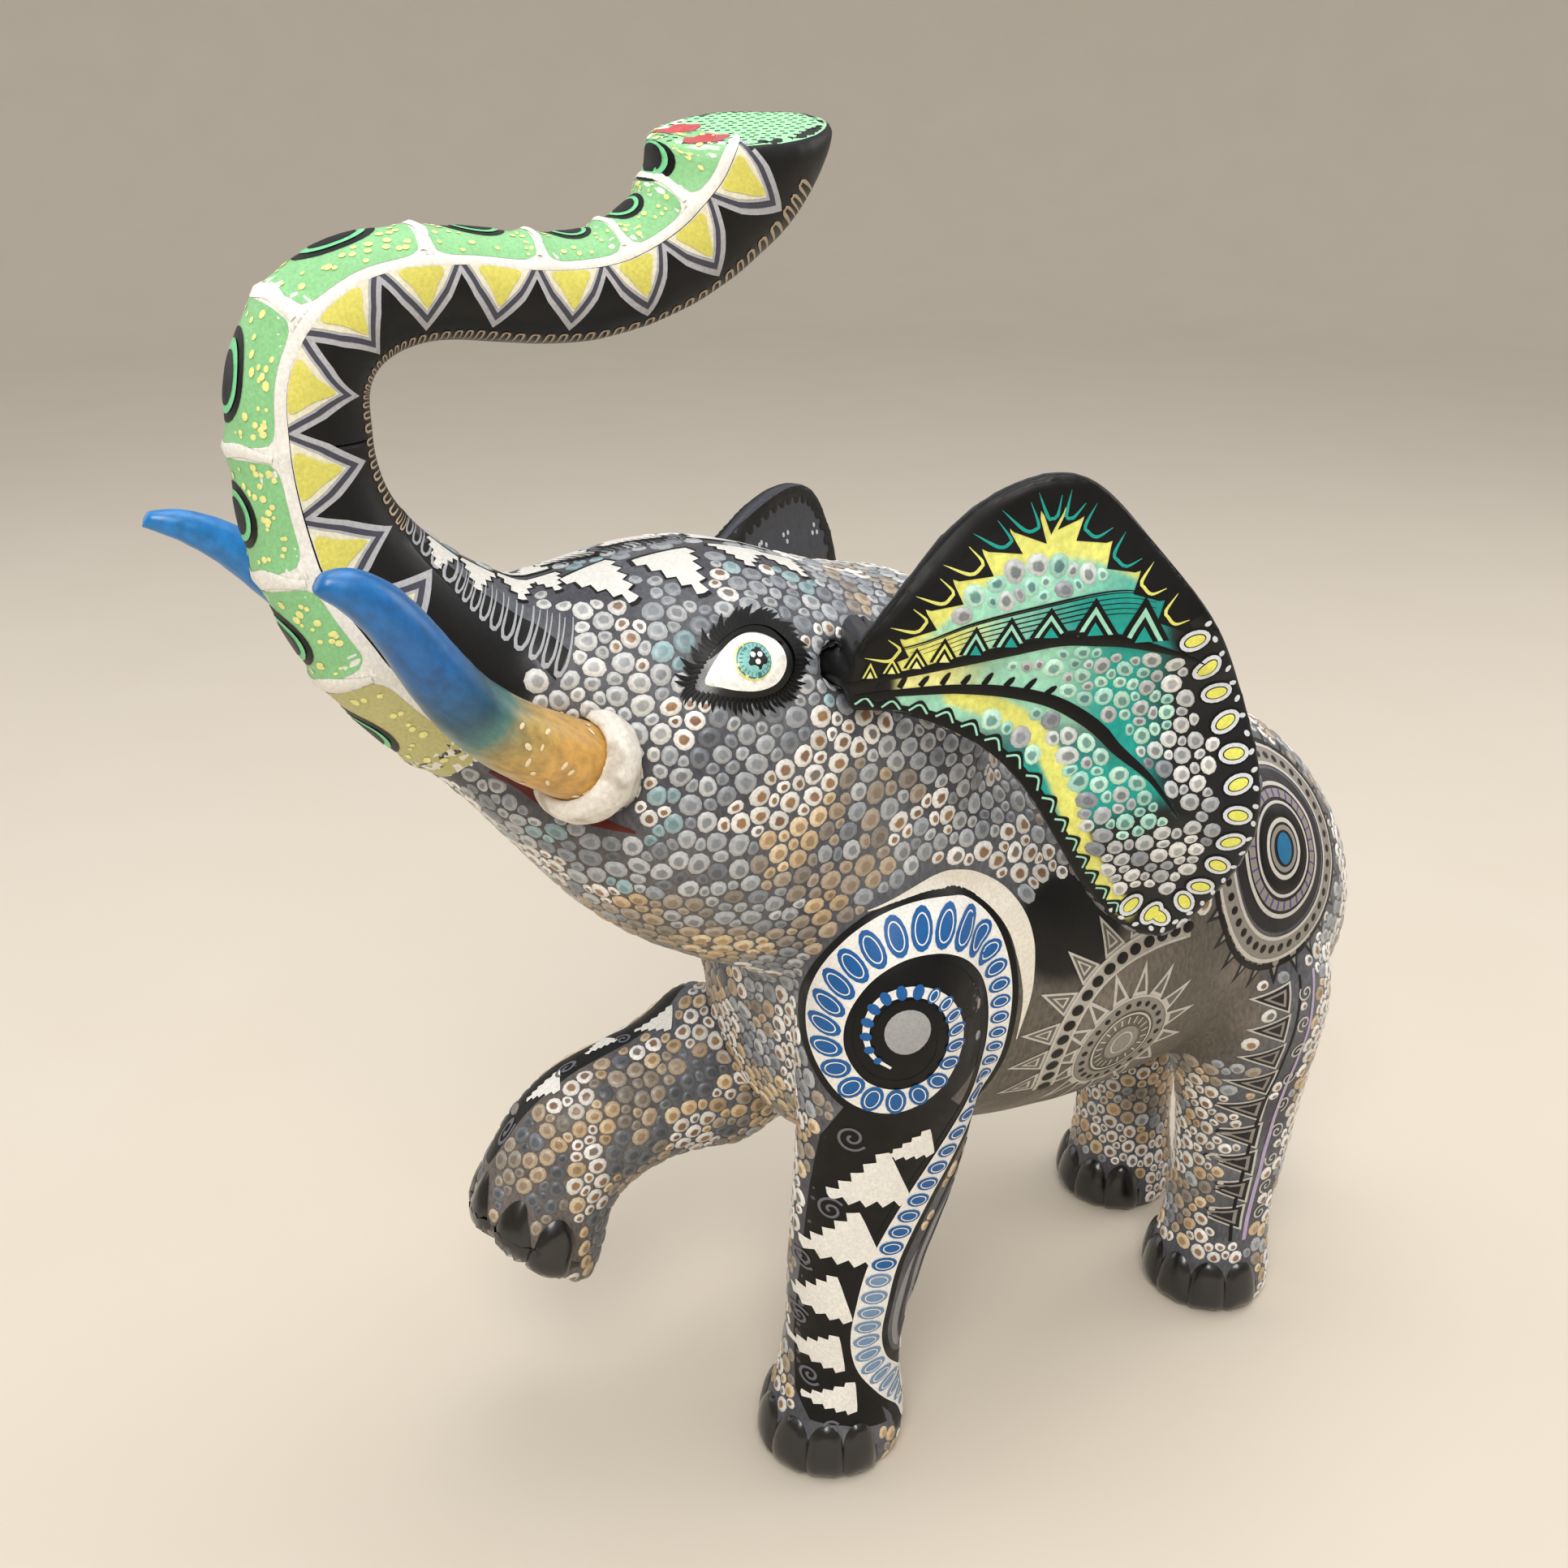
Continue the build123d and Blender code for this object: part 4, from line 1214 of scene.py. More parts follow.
def paintHooves():
    look = hoofLook
    black = linear(look["black"])
    nails = newPaint()
    ground = newPaint()
    for x, y in look["feet"]:
        place = roundFoot(figureTree, x, y, look["radius"])
        for angle in look["nails"]:
            turned = angle if x > 0 else -180 - angle
            u = math.radians(turned) * look["radius"]
            half = look["nailWide"] / 2
            shape = smoothLine([(u - half, 1.6), (u - half, 9), (u - half * 0.9, 14), (u - half * 0.5, 17),
                                (u, look["nailTall"]),
                                (u + half * 0.5, 17), (u + half * 0.9, 14), (u + half, 9), (u + half, 1.6),
                                (u, 1.0)], 1.2, closed=True)
            fill(nails, shape, place, black, 1, step=1.5, dome=1.5)
        first, last = look["nails"][0], look["nails"][-1]
        low = math.radians(last - 20 if x > 0 else -180 - first - 20) * look["radius"]
        high = math.radians(first + 20 if x > 0 else -180 - last + 20) * look["radius"]
        stroke(ground, [(low, 6.8), ((low + high) / 2, 7.0), (high, 6.8)], 12.4, place, black, 0,
               tips=(0.4, 0.4), swell=0)
    place = roundLimb(raisedLeg, figureTree, 1, 19.0)
    tip = raisedLeg.length
    for angle in (-10, -48, -90, -132, -170):
        v = math.radians(angle) * 19.0
        shape = smoothLine([(tip - 0.8, v - 5.9), (tip - 8, v - 6.0), (tip - 14, v - 5.2),
                            (tip - 17, v - 2.8), (tip - 18, v),
                            (tip - 17, v + 2.8), (tip - 14, v + 5.2), (tip - 8, v + 6.0),
                            (tip - 0.8, v + 5.9)], 1.2, closed=True)
        fill(nails, shape, place, black, 1, step=1.5, dome=1.9)
    stroke(ground, [(tip - 5, math.radians(20) * 19), (tip - 5, math.radians(-90) * 19),
                    (tip - 5, math.radians(-200) * 19)], 8.4, place, black, 0, tips=(0.4, 0.4), swell=0)
    # a black strip with jagged leaves and curls along the top of the raised leg
    strip = newPaint()
    stroke(strip, [(10, -36, 5), (22, -34, 9), (38, -33, 10), (54, -33, 9), (66, -34, 4)], 0, place, black,
           0, swell=0)
    for at, turn in ((20, 150), (34, 200), (48, 160)):
        fill(strip, jaggedLeaf((at + 5, -32), turn, 9, 7), place, linear(shoulderLook["leaf"]), 2)
        stroke(strip, curl((at + 8.5, -31), 2.2, 1.7, at), 0.6, place, linear(shoulderLook["curlGrey"]), 2,
               step=0.9)
    finishMarks("raisedLegStrip", strip, "figure")
    finishMarks("hoofBlack", ground, "figure", nailPaint)
    finishMarks("hoofNails", nails, "figure", nailPaint)


paintTrunk()
paintFace()
paintShoulder()
paintFlank()
paintHooves()
print("marks laid", len(clearMarks))


# dabs: rounded cells of thick paint that cover the skin like pebbles

dabLook = {
    "spacing": 3.9,     # mm between neighbouring dabs
    "gap": 0.34,
    "height": 0.42,
    "sides": 11,
    "rings": [(1.0, -0.25), (0.84, 0.62), (0.5, 1.0)],
    "twoSizes": (1.18, 0.8),  # spacing of the large dabs and of the small ones that fill in
    "weights": (0.56, 0.44),  # how two neighbours share the room between them: large dab, small dab
    "reach": (0.9, 0.62),     # furthest edge of a large and a small dab, in spacings
}
families = {  # rim, middle
    "grey": [("#9A9EA3", "#7C8187"), ("#878C92", "#6C7178"), ("#ABAFB2", "#8A8F94"),
             ("#B9BBBC", "#7F8388")],
    "white": [("#E9E7E2", "#80604A"), ("#DEDCD6", "#94714E"), ("#EDEBE6", "#77706A"),
              ("#E4E2DE", "#8A6A50")],
    "teal": [("#9DB9BD", "#7E9CA2"), ("#8BA4A9", "#6C868D")],
    "peach": [("#CDB592", "#AE8F68"), ("#BCA482", "#8F7858"), ("#D9C6A6", "#A98A62")],
    "tan": [("#A3988A", "#8A7A68"), ("#8F877C", "#736A60"), ("#B5A48C", "#96826A")],
    "dark": [("#6E7278", "#51555B"), ("#5F6369", "#474B51")],
    "mint": [("#BFE6D2", "#6E9A92"), ("#A8D8C8", "#5E8C88"), ("#C8CDCB", "#7D8584")],
    "ash": [("#DEDEDA", "#A8AAAA"), ("#C6C8C8", "#8E9294")],
}


def scatter(points, spacing, wanted, first=()):
    # points no nearer to each other than the spacing, added to the first ones
    order = dice.permutation(np.flatnonzero(wanted)).tolist()
    cells = {}
    kept = []
    for i in first:
        cells.setdefault(tuple(int(k) for k in np.floor(points[i] / spacing)),
                         []).append(points[i].tolist())
    for i in order:
        p = points[i]
        key = tuple(int(k) for k in np.floor(p / spacing))
        clash = any((p[0] - q[0]) ** 2 + (p[1] - q[1]) ** 2 + (p[2] - q[2]) ** 2 < spacing * spacing
                    for dx in (-1, 0, 1) for dy in (-1, 0, 1) for dz in (-1, 0, 1)
                    for q in cells.get((key[0] + dx, key[1] + dy, key[2] + dz), ()))
        if not clash:
            cells.setdefault(key, []).append(p.tolist())
            kept.append(i)
    return kept


def nearTree(points):
    tree = KDTree(max(1, len(points)))
    for i, p in enumerate(points):
        tree.insert(p, i)
    tree.balance()
    return tree


def dabCells(name, points, normals, tree, seeds, around, bigSeeds, marks, family, body):
    look = dabLook
    sides = look["sides"]
    seedTree = nearTree([points[i] for i in around])
    weight = [look["weights"][i not in bigSeeds] for i in around]
    way = [(math.cos(2 * math.pi * k / sides), math.sin(2 * math.pi * k / sides)) for k in range(sides)]
    made, faces, rims, middles, spreads = [], [], [], [], []
    for i in seeds:
        centre, out = Vector(points[i]), Vector(normals[i])
        right = out.orthogonal().normalized()
        up = out.cross(right)
        reach = [look["spacing"] * look["reach"][i not in bigSeeds]] * sides
        mine = look["weights"][i not in bigSeeds]
        for near, index, far in seedTree.find_range(centre, look["spacing"] * 2.2):
            if far < 1e-6:
                continue
            across = near - centre
            u, v = across.dot(right), across.dot(up)
            flat = math.hypot(u, v)
            if flat < 1e-6:
                continue
            for k, (c, s) in enumerate(way):
                lean = (u * c + v * s) / flat
                if lean > 0.15:
                    split = 0.5 + mine - weight[index]
                    reach[k] = min(reach[k], (far * split - look["gap"] / 2) / lean)
        if marks is not None:
            blocked = marks.find(centre)[2]
            if blocked is not None and blocked < 1.5:
                continue
            for near, index, far in marks.find_range(centre, look["spacing"] * 0.8):
                across = near - centre
                u, v = across.dot(right), across.dot(up)
                flat = math.hypot(u, v)
                for k, (c, s) in enumerate(way):
                    lean = (u * c + v * s) / max(flat, 1e-6)
                    if lean > 0.5:
                        reach[k] = min(reach[k], max(0.4, (far - 0.35) / lean))
        reach = [(reach[k - 1] + 2 * reach[k] + reach[(k + 1) % sides]) / 4 for k in range(sides)]
        mean = sum(reach) / sides
        if mean < 0.8:
            continue
        reach = [min(r, mean * 1.45) for r in reach]
        kind = families[family(centre, out)]
        rim, middle = kind[int(dice.integers(len(kind)))]
        light = dice.uniform(0.82, 1.12)
        rim = [c * light for c in linear(rim)]
        middle = [c * light for c in linear(middle)]
        edge = []
        for (c, s), r in zip(way, reach):
            hit = tree.find_nearest(centre + right * (c * r) + up * (s * r))[0]
            edge.append(hit)
        tall = look["height"] * min(1.2, mean / 2.0)
        start = len(made)
        for share, lift in look["rings"]:
            for p in edge:
                made.append(centre + (p - centre) * share + out * (lift * tall))
                spreads.append(share)
        made.append(centre + out * (tall * 1.08))
        spreads.append(0.0)
        count = len(look["rings"])
        for k in range(sides):
            nextK = (k + 1) % sides
            for level in range(count - 1):
                a, b = start + level * sides, start + (level + 1) * sides
                faces.append((a + k, a + nextK, b + nextK, b + k))
            last = start + (count - 1) * sides
            faces.append((last + k, last + nextK, start + count * sides))
        rims.extend([rim] * (count * sides + 1))
        middles.extend([middle] * (count * sides + 1))
    mesh = bpy.data.meshes.new(name)
    mesh.from_pydata([p * mm for p in made], [], faces)
    setPointColours(mesh, "rim", np.array(rims))
    setPointColours(mesh, "middle", np.array(middles))
    layer = mesh.attributes.new("spread", "FLOAT", "POINT")
    layer.data.foreach_set("value", spreads)
    print(name, len(seeds), "dabs")
    return finishPiece(name, mesh, body, dabPaint)


def hideFamily(p, out):
    side, y, z = abs(p.x), p.y, p.z
    patch = noise.noise(p / 16.0) + 0.3 * noise.noise(p / 6.0)
    tint = noise.noise(p / 12.0 + Vector((7, 1, 4)))
    if y < -88 and z > 222 - 0.5 * (y + 88) and side > 6:
        return "ash" if patch > -0.5 else "white"
    if y < -40 and z > 165:      # head
        face = z - 0.5 * (y + 70)
        if face < 203 + 8 * tint:
            return "peach" if patch > 0.12 else "tan" if patch > -0.3 else "grey"
        if face > 238:
            return "white" if patch > 0.3 else "teal" if tint > 0.34 else "grey"
        return "white" if patch > 0.04 else "teal" if tint > 0.32 else "grey" if tint > -0.4 else "dark"
    if y < -40 and p.x < 0:      # raised leg
        return "white" if patch > 0.22 else "peach" if patch > 0.05 else "tan" if tint > -0.1 else "dark"
    if z < 120:
        return "white" if patch > 0.1 else "peach" if patch > -0.12 else "tan" if tint > 0.0 else "grey"
    return "white" if patch > 0.05 else "grey" if tint > -0.2 else "tan"


def skinDabs():
    marks = nearTree(clearMarks)
    points, normals = figurePoints, figureNormals
    side, y, z = np.abs(points[:, 0]), points[:, 1], points[:, 2]
    along, angle, away = trunk.nearest(points)
    onTrunk = (((y < -112) & (z > 232)) | (z > 290)) & (away < 32)
    bare = onTrunk & ((along > 58) | ((along > 14) & (angle > -52)))
    bare |= z < 2.0
    flank = (np.hypot((y - 38) / 56, (z - 118) / 46) < 1) & (side > 12)
    bare |= flank
    # the painted shade under the back of the left ear is left bare of dabs
    paintedEarShade = bump(np.column_stack([side, y, z]), (50, 20, 163), 17, (1.5, 1.2, 1)) > 0.5
    bare |= paintedEarShade & (points[:, 0] > 0)
    large, small = dabLook["twoSizes"]
    big = scatter(points, dabLook["spacing"] * large, ~bare)
    seeds = big + scatter(points, dabLook["spacing"] * small, ~bare, big)
    groups = {"headDabs": [], "leftDabs": [], "rightDabs": [], "raisedLegDabs": []}
    for i in seeds:
        x, py, pz = points[i]
        if py < -36 and pz > 125:
            groups["headDabs"].append(i)
        elif py < -40 and x < -2:
            groups["raisedLegDabs"].append(i)
        else:
            groups["leftDabs" if x > 0 else "rightDabs"].append(i)
    for name, chosen in groups.items():
        dabCells(name, points, normals, figureTree, chosen, seeds, set(big), marks, hideFamily,
                 "figure")


skinDabs()


# ears: ruffled leaves with a carved ridge pattern, painted zone by zone

earLook = {
    "dabSpacing": (4.2, 2.9),  # mm between large dabs, then between the small ones that fill in
    "rootGap": 0.4,            # mm of room between the root and the head
    # lines in the ear's own plane from its root: back, up
    "crest": [(-2, 8), (12, 25), (30, 41), (48, 45), (65, 31), (80, 13)],
    "back": [(80, 13), (89, -4), (95, -24), (95, -44), (88, -61), (77, -70)],
    "front": [(77, -70), (65, -65), (55, -53), (46, -38), (35, -22), (18, -11), (-2, -7)],
    "upperRidge": [(-3, -0.5), (8.5, 2), (22, 5), (34, 7.6), (45, 9.8), (55, 9.4), (64, 7.6), (75.5, 4),
                   (83, 0)],
    "lowerRidge": [(-1, -3.5), (13, -2), (22.6, -2), (34, -3), (45, -6), (54.7, -12), (60, -17.5),
                   (68, -24.5),
                   (75, -34)],
    "zigzagTop": [(1, 7), (13, 9.5), (25.5, 14), (43.4, 18), (54.7, 20), (62, 20), (69, 18)],
    "mintTop": [(12, 9), (17, 13), (25.5, 21), (35, 26), (45, 27.6), (55.6, 25.5), (66, 20)],
    "yellowLine": [(22, -3.5), (30, -6.5), (38, -11), (44, -18), (48.5, -28), (52, -39), (57, -49),
                   (62, -57),
                   (67, -62)],
    "ridgeRise": 1.0,
    "yellow": "#E2E277", "lemon": "#EDEC9A", "mint": "#9FDCC0", "teal": "#1C9C90", "deep": "#0F6C70",
    "black": "#080808", "slate": "#3C3E46", "white": "#DADFE4", "petal": "#E9E86C",
    "dark": "#15171A", "dot": "#C9CDD2",
}
earPlaces = {
    "left": {"side": 1, "root": (45, -44, 240), "turn": 24, "lean": 0},
    "right": {"side": -1, "root": (45, -33, 238), "turn": 30, "lean": 31},
}


def distanceTo(flat, line):
    far = ((flat[:, None, :] - line[None]) ** 2).sum(2)
    return np.sqrt(far.min(1)), far.argmin(1) / (len(line) - 1)


def earPlane(place):
    turn = math.radians(place["turn"])
    side = place["side"]
    out = np.array([math.cos(turn) * side, -math.sin(turn), 0])
    back = np.array([math.sin(turn) * side, math.cos(turn), 0])
    root = np.array([place["root"][0] * side, *place["root"][1:]])
    return root, back, out


def earFlat(points, place):
    # own-plane coordinates of each point and how far out of the plane it stands
    root, back, out = earPlane(place)
    rel = points - root
    u, v = rel @ back, rel[:, 2]
    lean = math.radians(place["lean"])
    return np.column_stack([u * math.cos(lean) - v * math.sin(lean),
                            u * math.sin(lean) + v * math.cos(lean)]), rel @ out


def onEar(tree, place, outer=True):
    turn = math.radians(place["turn"])
    lean = math.radians(-place["lean"])
    out = Vector((math.cos(turn), -math.sin(turn), 0))
    flat = flatOn(tree, place["root"], out if outer else -out, (math.sin(turn), math.cos(turn), 0),
                  place["side"])

    def spot(u, v):
        leaned = (u * math.cos(lean) - v * math.sin(lean), u * math.sin(lean) + v * math.cos(lean))
        return flat(leaned[0], leaned[1] if outer else -leaned[1])
    return spot


def earColours(flat, lines, outer):
    look = earLook
    u, v = flat[:, 0], flat[:, 1]
    colours = np.tile(linear(look["slate"]), (len(flat), 1))
    zig = np.interp(u, *lines["zigzagTop"].T)
    upper = np.interp(u, *lines["upperRidge"].T)
    lower = np.interp(u, *lines["lowerRidge"].T)
    above = blendIn(v - upper, -0.5, 0.5)
    mixInto(colours, look["yellow"], above)
    inMint = above * blendIn(np.interp(u, *lines["mintTop"].T, left=-9) - v, -1.0, 1.5)
    mixInto(colours, look["mint"], inMint)
    mixInto(colours, look["teal"], inMint * blendIn(u, 38, 66) * 0.8)
    band = above * blendIn(zig - v, -0.4, 0.4)
    mixInto(colours, look["yellow"], band * (1 - blendIn(u, 18, 34)))
    mixInto(colours, look["teal"], band * blendIn(u, 26, 52))
    mixInto(colours, look["deep"], band * blendIn(u, 60, 76) * 0.8)
    between = (1 - above) * blendIn(v - lower, -0.5, 0.5)
    mixInto(colours, look["lemon"], between * (1 - blendIn(u, 18, 36)))
    mixInto(colours, look["mint"], between * blendIn(u, 18, 36))
    mixInto(colours, look["teal"], between * blendIn(u, 42, 58))
    mixInto(colours, look["dark"], between * blendIn(u, 62, 74))
    below = (1 - above) * blendIn(lower - v, -0.5, 0.5)
    mixInto(colours, look["mint"], below * (1 - blendIn(-v, 6, 18)))
    mixInto(colours, look["teal"], below * blendIn(-v, 10, 24))
    mixInto(colours, look["dark"], below * blendIn(-v + 0.35 * u, 50, 58))
    mixInto(colours, look["yellow"], below * (1 - blendIn(distanceTo(flat, lines["yellowLine"])[0], 2.0,
                                                          3.6)))
    mixInto(colours, look["dark"], (1 - blendIn(distanceTo(flat, lines["back"])[0], 10, 13)) * blendIn(u,
                                                                                                       66,
                                                                                                       72))
    mixInto(colours, look["black"], 1 - blendIn(distanceTo(flat, lines["crest"])[0], 2.4, 3.4))
    mixInto(colours, look["black"], 1 - blendIn(distanceTo(flat, lines["front"])[0], 1.6, 2.6))
    mixInto(colours, look["black"], 1 - blendIn(np.hypot(np.maximum(u - 1, 0), v * 0.6), 6, 9))
    mixInto(colours, look["slate"], (1 - outer) * blendIn(np.hypot(np.maximum(u - 1, 0), v), 3, 6))
    return colours


def paintEar(name, place, tree, lines):
    look = earLook
    tone = {key: linear(code) for key, code in look.items() if isinstance(code, str)}
    spot = onEar(tree, place)
    black = newPaint()
    bright = newPaint()
    petals = newPaint()

    def inset(line, share, deep):
        at = min(max(share, 0.0), 1.0) * (len(line) - 1)
        low = min(int(at), len(line) - 2)
        p = line[low] + (line[low + 1] - line[low]) * (at - low)
        way = line[min(low + 2, len(line) - 1)] - line[max(low - 1, 0)]
        way = way / np.linalg.norm(way)
        return p + np.array([way[1], -way[0]]) * deep, way

    # black border on the crest with hooked teeth, each with a teal or yellow curl inside
    crest = lines["crest"]
    border = [(*inset(crest, s, 3.2)[0], 5.6) for s in np.linspace(0.0, 0.97, 26)]
    stroke(black, border, 0, spot, tone["black"], 1, swell=0.1)
    teeth = 12
    for i in range(teeth):
        share = 0.04 + 0.9 * i / (teeth - 1)
        long = 14.0 - 3.5 * abs(2 * share - 0.9)
        half = 0.049
        a, way = inset(crest, share - half, 5.0)
        b, way = inset(crest, share + half, 5.0)
        tip = inset(crest, share, long)[0] + way * (2.2 if share < 0.5 else -1.5)
        mid = inset(crest, share - half * 0.72, 3.0 + long * 0.4)[0]
        mid2 = inset(crest, share + half * 0.72, 3.0 + long * 0.4)[0]
        fill(black, [a, mid, tip, mid2, b], spot, tone["black"], 1, step=1.6)
        inner = tip + (inset(crest, share, 3.0)[0] - tip) * 0.34
        curlTone = tone["teal"] if 0.35 < share < 0.8 else tone["yellow"]
        stroke(bright, [inset(crest, share - half * 0.7, 3.2)[0], (mid + inner) / 2, inner,
                        (mid2 + inner) / 2, inset(crest, share + half * 0.5, 4.6)[0]], 0.75, spot,
                        curlTone, 2,
               tips=(0.2, 0.2), step=0.8)
    # ridges, dark and swelling towards the middle
    for key, widths in (("upperRidge", (1.6, 3.8, 2.0)), ("lowerRidge", (2.2, 3.2, 2.6))):
        line = lines[key]
        wide = np.interp(np.linspace(0, 1, len(line)), (0, 0.62, 1), widths)
        stroke(black, np.column_stack([line, wide])[::4], 0, spot, tone["black"], 1, tips=(0.6, 0.1),
               swell=0.15)
    # short blocks that hang along the lower ridge
    low = lines["lowerRidge"]
    for i in range(9):
        p, way = inset(low, 0.06 + 0.055 * i, -1.2)
        q = inset(low, 0.08 + 0.055 * i, -3.6 - 0.6 * (i % 2))[0]
        stroke(black, [p, q], 1.3, spot, tone["black"], 1, tips=(1, 0.4), step=0.8)
    # zigzag band: nested chevrons that grow outwards, with fine lines between them
    at = 0.0
    size = 4.6
    while at < 66:
        foot = np.interp(at + size / 2, *lines["upperRidge"].T) + 0.8
        top = np.interp(at + size / 2, *lines["zigzagTop"].T) - 0.8
        tall = min(top - foot, size * 1.25)
        for share, key, layer in ((1.0, "black", 1), (0.76, "mint" if at > 20 else "yellow", 2),
                                  (0.56, "black", 3), (0.34, "teal" if at > 20 else "lemon", 4)):
            half = size / 2 * share
            fill(black, [(at + size / 2 - half, foot), (at + size / 2, foot + tall * share),
                         (at + size / 2 + half, foot)], spot, tone[key], layer, step=1.8)
        at += size * 0.98
        size *= 1.13
    for row in range(5):
        points = [(u, np.interp(u, *lines["zigzagTop"].T) - 0.5 - row * 1.15)
                  for u in np.linspace(8 + row * 3, 66, 20)]
        stroke(black, points, 0.3, spot, tone["black"], 0, tips=(0.3, 0.3))
    stroke(black, [tuple(p) for p in lines["zigzagTop"][::5]], 0.5, spot, tone["black"], 1, tips=(0.3, 0.3))
    # scalloped black border down the front edge, cream inside each scallop
    front = lines["front"]
    border = [(*inset(front, s, 1.9)[0], 2.6) for s in np.linspace(0.14, 0.99, 24)]
    stroke(black, border, 0, spot, tone["black"], 1, tips=(0.4, 1))
    for i in range(15):
        share = 0.16 + 0.058 * i
        a, way = inset(front, share - 0.03, 2.0)
        b = inset(front, share + 0.03, 2.0)[0]
        m = inset(front, share, 5.2)[0]
        fill(black, smoothLine([a, (a + m) / 2 + (a - b) * 0.06, m, (b + m) / 2 + (b - a) * 0.06, b], 0.9),
             spot, tone["black"], 1, step=1.5)
        stroke(bright, [inset(front, share - 0.02, 2.2)[0], inset(front, share, 4.0)[0],
                        inset(front, share + 0.02, 2.2)[0]], 0.5, spot, tone["mint"], 2, step=0.7)
    # petals round the back rim: a pale rim, a dark gap and a yellow heart
    rim = np.vstack([lines["back"], lines["front"][1:int(len(lines["front"]) * 0.17)]])
    count = 14
    for i in range(count):
        centre, way = inset(rim, 0.02 + 0.95 * i / (count - 1), 6.0)
        turn = math.degrees(math.atan2(way[1], way[0])) + 90 + (14 if i % 2 else -10)
        for size, key, layer in (((4.2, 2.9), "black", 1), ((3.7, 2.45), "white", 2),
                                 ((2.7, 1.55), "black", 3),
                                 ((2.4, 1.3), "petal", 4)):
            dot(petals, centre, size, turn, spot, tone[key], layer, sides=16, dome=0.06)
    for i in range(26):
        p = inset(rim, i / 25, 1.8)[0]
        dot(petals, p, (0.9, 0.6), dice.uniform(0, 180), spot, tone["white"], 1, sides=8)
    # the back of the ear: trios of pale dots inside a scalloped black edge
    behind = onEar(tree, place, outer=False)
    loop = np.vstack([lines["crest"], lines["back"][1:], lines["front"][1:]])
    edge = [inset(loop, s, 2.4)[0] for s in np.linspace(0.02, 0.98, 70)]
    stroke(black, edge, 3.2, behind, tone["black"], 1)
    for i in range(64):
        p = inset(loop, 0.01 + 0.98 * i / 63, 4.4)[0]
        dot(black, p, (1.5, 1.5), 0, behind, tone["black"], 1, sides=8)
    for i in range(46):
        p = np.array([dice.uniform(8, 86), dice.uniform(-60, 38)])
        if distanceTo(p[None], loop)[0][0] < 8 or not insideLoop(p, loop):
            continue
        for k in range(3):
            a = 2.1 * k + i
            dot(petals, p + np.array([math.cos(a), math.sin(a)]) * 1.5, (0.75, 0.75), 0, behind,
                tone["dot"], 1, sides=8)
    body = name + "_ear"
    marks = [p for paint in (black, bright, petals) for p,
             n in zip(paint["points"], paint["normals"]) if n is not None]
    paintPiece(name + "EarBlack", black, body, linePaint)
    paintPiece(name + "EarCurls", bright, body, linePaint)
    paintPiece(name + "EarPetals", petals, body, linePaint)
    return marks


def insideLoop(p, loop):
    after = np.roll(loop, -1, axis=0)
    crossing = (loop[:, 1] > p[1]) != (after[:, 1] > p[1])
    rise = np.where(after[:, 1] == loop[:, 1], 1e-9, after[:, 1] - loop[:, 1])
    where = loop[:, 0] + (p[1] - loop[:, 1]) / rise * (after[:, 0] - loop[:, 0])
    return (crossing & (p[0] < where)).sum() % 2 == 1


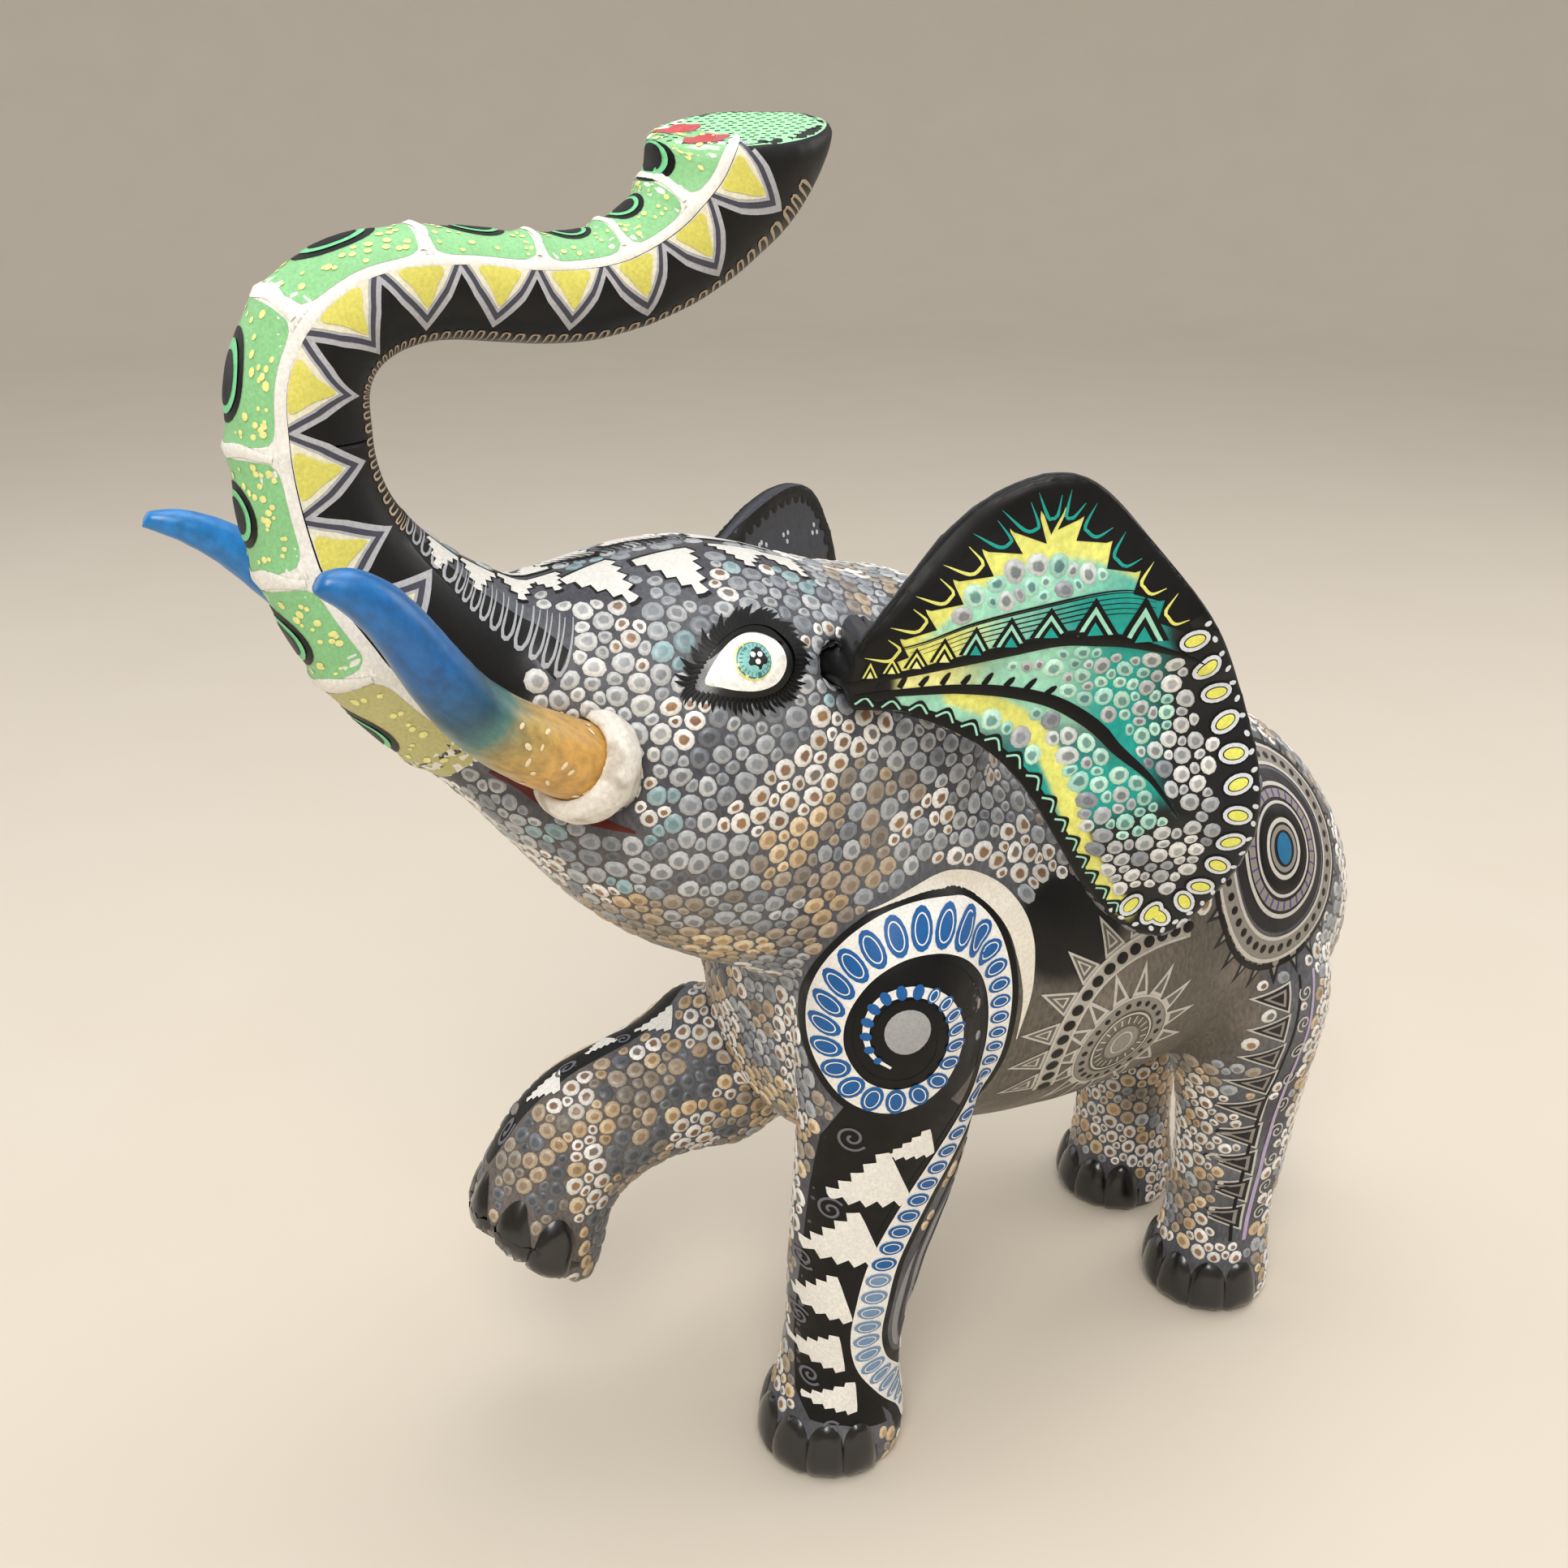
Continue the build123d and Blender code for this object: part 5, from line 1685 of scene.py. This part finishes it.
def makeEar(name, place):
    lines = {key: smoothLine(points, 1.0) for key, points in earLook.items() if isinstance(points, list)}
    points, quads = carve(name + "Ear", [name + "_ear"], 1.0, 6)
    flat = earFlat(points, place)[0]
    out = earPlane(place)[2]
    outward = normalsOf(points, quads) @ out
    # carved ridges stand up on the face
    rise = np.zeros(len(points))
    for key in ("upperRidge", "lowerRidge"):
        rise += earLook["ridgeRise"] * np.exp(-(distanceTo(flat, lines[key])[0] / 2.2) ** 2)
    rise -= 0.7 * np.exp(-(distanceTo(flat, lines["yellowLine"])[0] / 3.0) ** 2)
    rise *= blendIn(flat[:, 0], 4, 14)
    points += out * (rise * blendIn(outward, 0.0, 0.4))[:, None]
    # the root swells in to meet the head, with a hair of room for the joint
    pull = (1 - blendIn(np.hypot(flat[:, 0] - 1, flat[:, 1]), 7, 17)) * (1 - blendIn(outward, -0.3, 0.6))
    away = earFlat(points, place)[1]
    for i in np.flatnonzero((pull > 0.01) & (away > -7)):
        hit = figureTree.ray_cast(Vector(points[i]), Vector(-out), 25)
        if hit[0] is not None and hit[3] > earLook["rootGap"]:
            points[i] -= out * ((hit[3] - earLook["rootGap"]) * pull[i])
    tree = treeOf(points, quads)
    normals = normalsOf(points, quads)
    flat = earFlat(points, place)[0]
    facing = normals @ out
    outer = blendIn(facing, -0.15, 0.15)
    mesh = bpy.data.meshes.new(name + "EarCarved")
    mesh.from_pydata((points * mm).tolist(), [], quads.tolist())
    setPointColours(mesh, "paint", earColours(flat, lines, outer))
    finishPiece(name + "EarCarved", mesh, name + "_ear", earPaint, [name + "_ear"])
    marks = nearTree(paintEar(name, place, tree, lines))
    # dabs on the mint, teal and dark fields
    u, v = flat[:, 0], flat[:, 1]
    zig = np.interp(u, *lines["zigzagTop"].T)
    upper = np.interp(u, *lines["upperRidge"].T)
    mintTop = np.interp(u, *lines["mintTop"].T, left=-99)
    yellowFar = distanceTo(flat, lines["yellowLine"])[0]
    field = (facing > 0.35) & (u > 22) & (yellowFar > 3)
    field &= ((v > zig + 1) & (v < mintTop - 1)) | (v < upper - 1)
    rimSide = (np.abs(facing) <= 0.35) & (u > 16) & (v < 0)
    large, small = earLook["dabSpacing"]
    big = scatter(points, large, field | rimSide)
    seeds = big + scatter(points, small, field | rimSide, big)

    def earFamily(p, normal):
        across, height = earFlat(np.array([p]), place)[0][0]
        if abs(normal.dot(Vector(out))) < 0.4:
            return "dark"
        if height + 0.2 * across < -26 or across > 72:
            return "ash" if noise.noise(p / 7.0) > -0.25 else "grey"
        return "mint" if noise.noise(p / 6.0) > -0.3 else "grey"
    dabCells(name + "EarDabs", points, normals, tree, seeds, seeds, set(big), marks, earFamily,
             name + "_ear")


for name, place in earPlaces.items():
    makeEar(name, place)
print("ears made")


# floor, light and camera

sweep = {"floor": 2.6, "bend": 1.2, "wall": 2.1, "turns": 72}  # metres, and faces round it


def setStage():
    # a round studio sweep: flat floor that curves up into a wall behind every view
    flat, bend, turns = sweep["floor"], sweep["bend"], sweep["turns"]
    profile = [(0.0, 0.0), (0.5 * flat, 0.0), (flat, 0.0)]
    profile += [(flat + bend * math.sin(a), bend - bend * math.cos(a))
                for a in np.linspace(0.1, math.pi / 2, 12)]
    profile += [(flat + bend + 0.05, sweep["wall"])]
    points = [(r * math.cos(2 * math.pi * k / turns), r * math.sin(2 * math.pi * k / turns), z)
              for r, z in profile for k in range(turns)]
    faces = [(row * turns + k, row * turns + (k + 1) % turns, (row + 1) * turns + (k + 1) % turns,
              (row + 1) * turns + k) for row in range(len(profile) - 1) for k in range(turns)]
    floorMesh = bpy.data.meshes.new("studioFloor")
    floorMesh.from_pydata(points, [], faces)
    floorMesh.polygons.foreach_set("use_smooth", [True] * len(faces))
    floor = bpy.data.objects.new("studioFloor", floorMesh)
    bpy.context.collection.objects.link(floor)
    material, tree = startMaterial("paleMattFloor")
    place = addNode(tree, "ShaderNodeTexCoord", (-600, 0))
    cloud = addNode(tree, "ShaderNodeTexNoise", (-400, 0),
                    inputs={"Vector": place.outputs["Object"], "Scale": 9.0, "Detail": 3.0})
    tint = addNode(tree, "ShaderNodeMix", (-200, 0), {"data_type": "RGBA"},
                   {"Factor": cloud.outputs["Fac"], 6: (*linear("#D8CDBB"), 1), 7: (*linear("#DDD3C3"), 1)})
    surface = addNode(tree, "ShaderNodeBsdfPrincipled", (0, 0),
                      inputs={"Base Color": tint.outputs[2], "Roughness": 0.7})
    addNode(tree, "ShaderNodeOutputMaterial", (300, 0), inputs={"Surface": surface.outputs["BSDF"]})
    floorMesh.materials.append(material)


def addLight(name, place, target, size, power, tint):
    lamp = bpy.data.lights.new(name, "AREA")
    lamp.shape = "DISK"
    lamp.size = size
    lamp.energy = power
    lamp.color = tint
    holder = bpy.data.objects.new(name, lamp)
    holder.location = place
    holder.rotation_euler = (Vector(target) - Vector(place)).to_track_quat("-Z", "Y").to_euler()
    bpy.context.collection.objects.link(holder)


lamps = {  # place, aim, width in metres, watts, tint
    "keySoftbox": ((0.75, -0.55, 1.05), (0, -0.02, 0.16), 0.7, 9.5, (1.0, 0.965, 0.92)),
    "topSoftbox": ((-0.1, 0.1, 1.35), (0, 0, 0.15), 0.9, 5.5, (1.0, 0.975, 0.94)),
    "fillSoftbox": ((-0.9, -0.8, 0.7), (0, 0, 0.18), 1.0, 2.5, (0.93, 0.96, 1.0)),
    "rearSoftbox": ((0.2, 1.2, 0.8), (0, 0, 0.18), 0.9, 4, (1.0, 0.98, 0.95)),
}

view = {
    "place": (0.340, -0.233, 0.355),  # metres
    "heading": (-0.866, 0.5),
    "pitch": 22.0,
    "lens": 37.27,
}


def setView():
    camera = bpy.data.cameras.new("camera")
    camera.sensor_width = 36.0
    camera.lens = view["lens"]
    camera.clip_start = 0.01
    holder = bpy.data.objects.new("camera", camera)
    pitch = math.radians(view["pitch"])
    way = Vector((view["heading"][0] * math.cos(pitch), view["heading"][1] * math.cos(pitch),
                  -math.sin(pitch)))
    holder.location = view["place"]
    holder.rotation_euler = way.to_track_quat("-Z", "Y").to_euler()
    bpy.context.collection.objects.link(holder)
    bpy.context.scene.camera = holder


setStage()
for name, settings in lamps.items():
    addLight(name, *settings)
world = bpy.data.worlds.new("studio")
world.use_nodes = True
world.node_tree.nodes["Background"].inputs["Color"].default_value = (0.82, 0.84, 0.88, 1)
world.node_tree.nodes["Background"].inputs["Strength"].default_value = 0.78
bpy.context.scene.world = world
bpy.context.scene.view_settings.view_transform = "Standard"
setView()
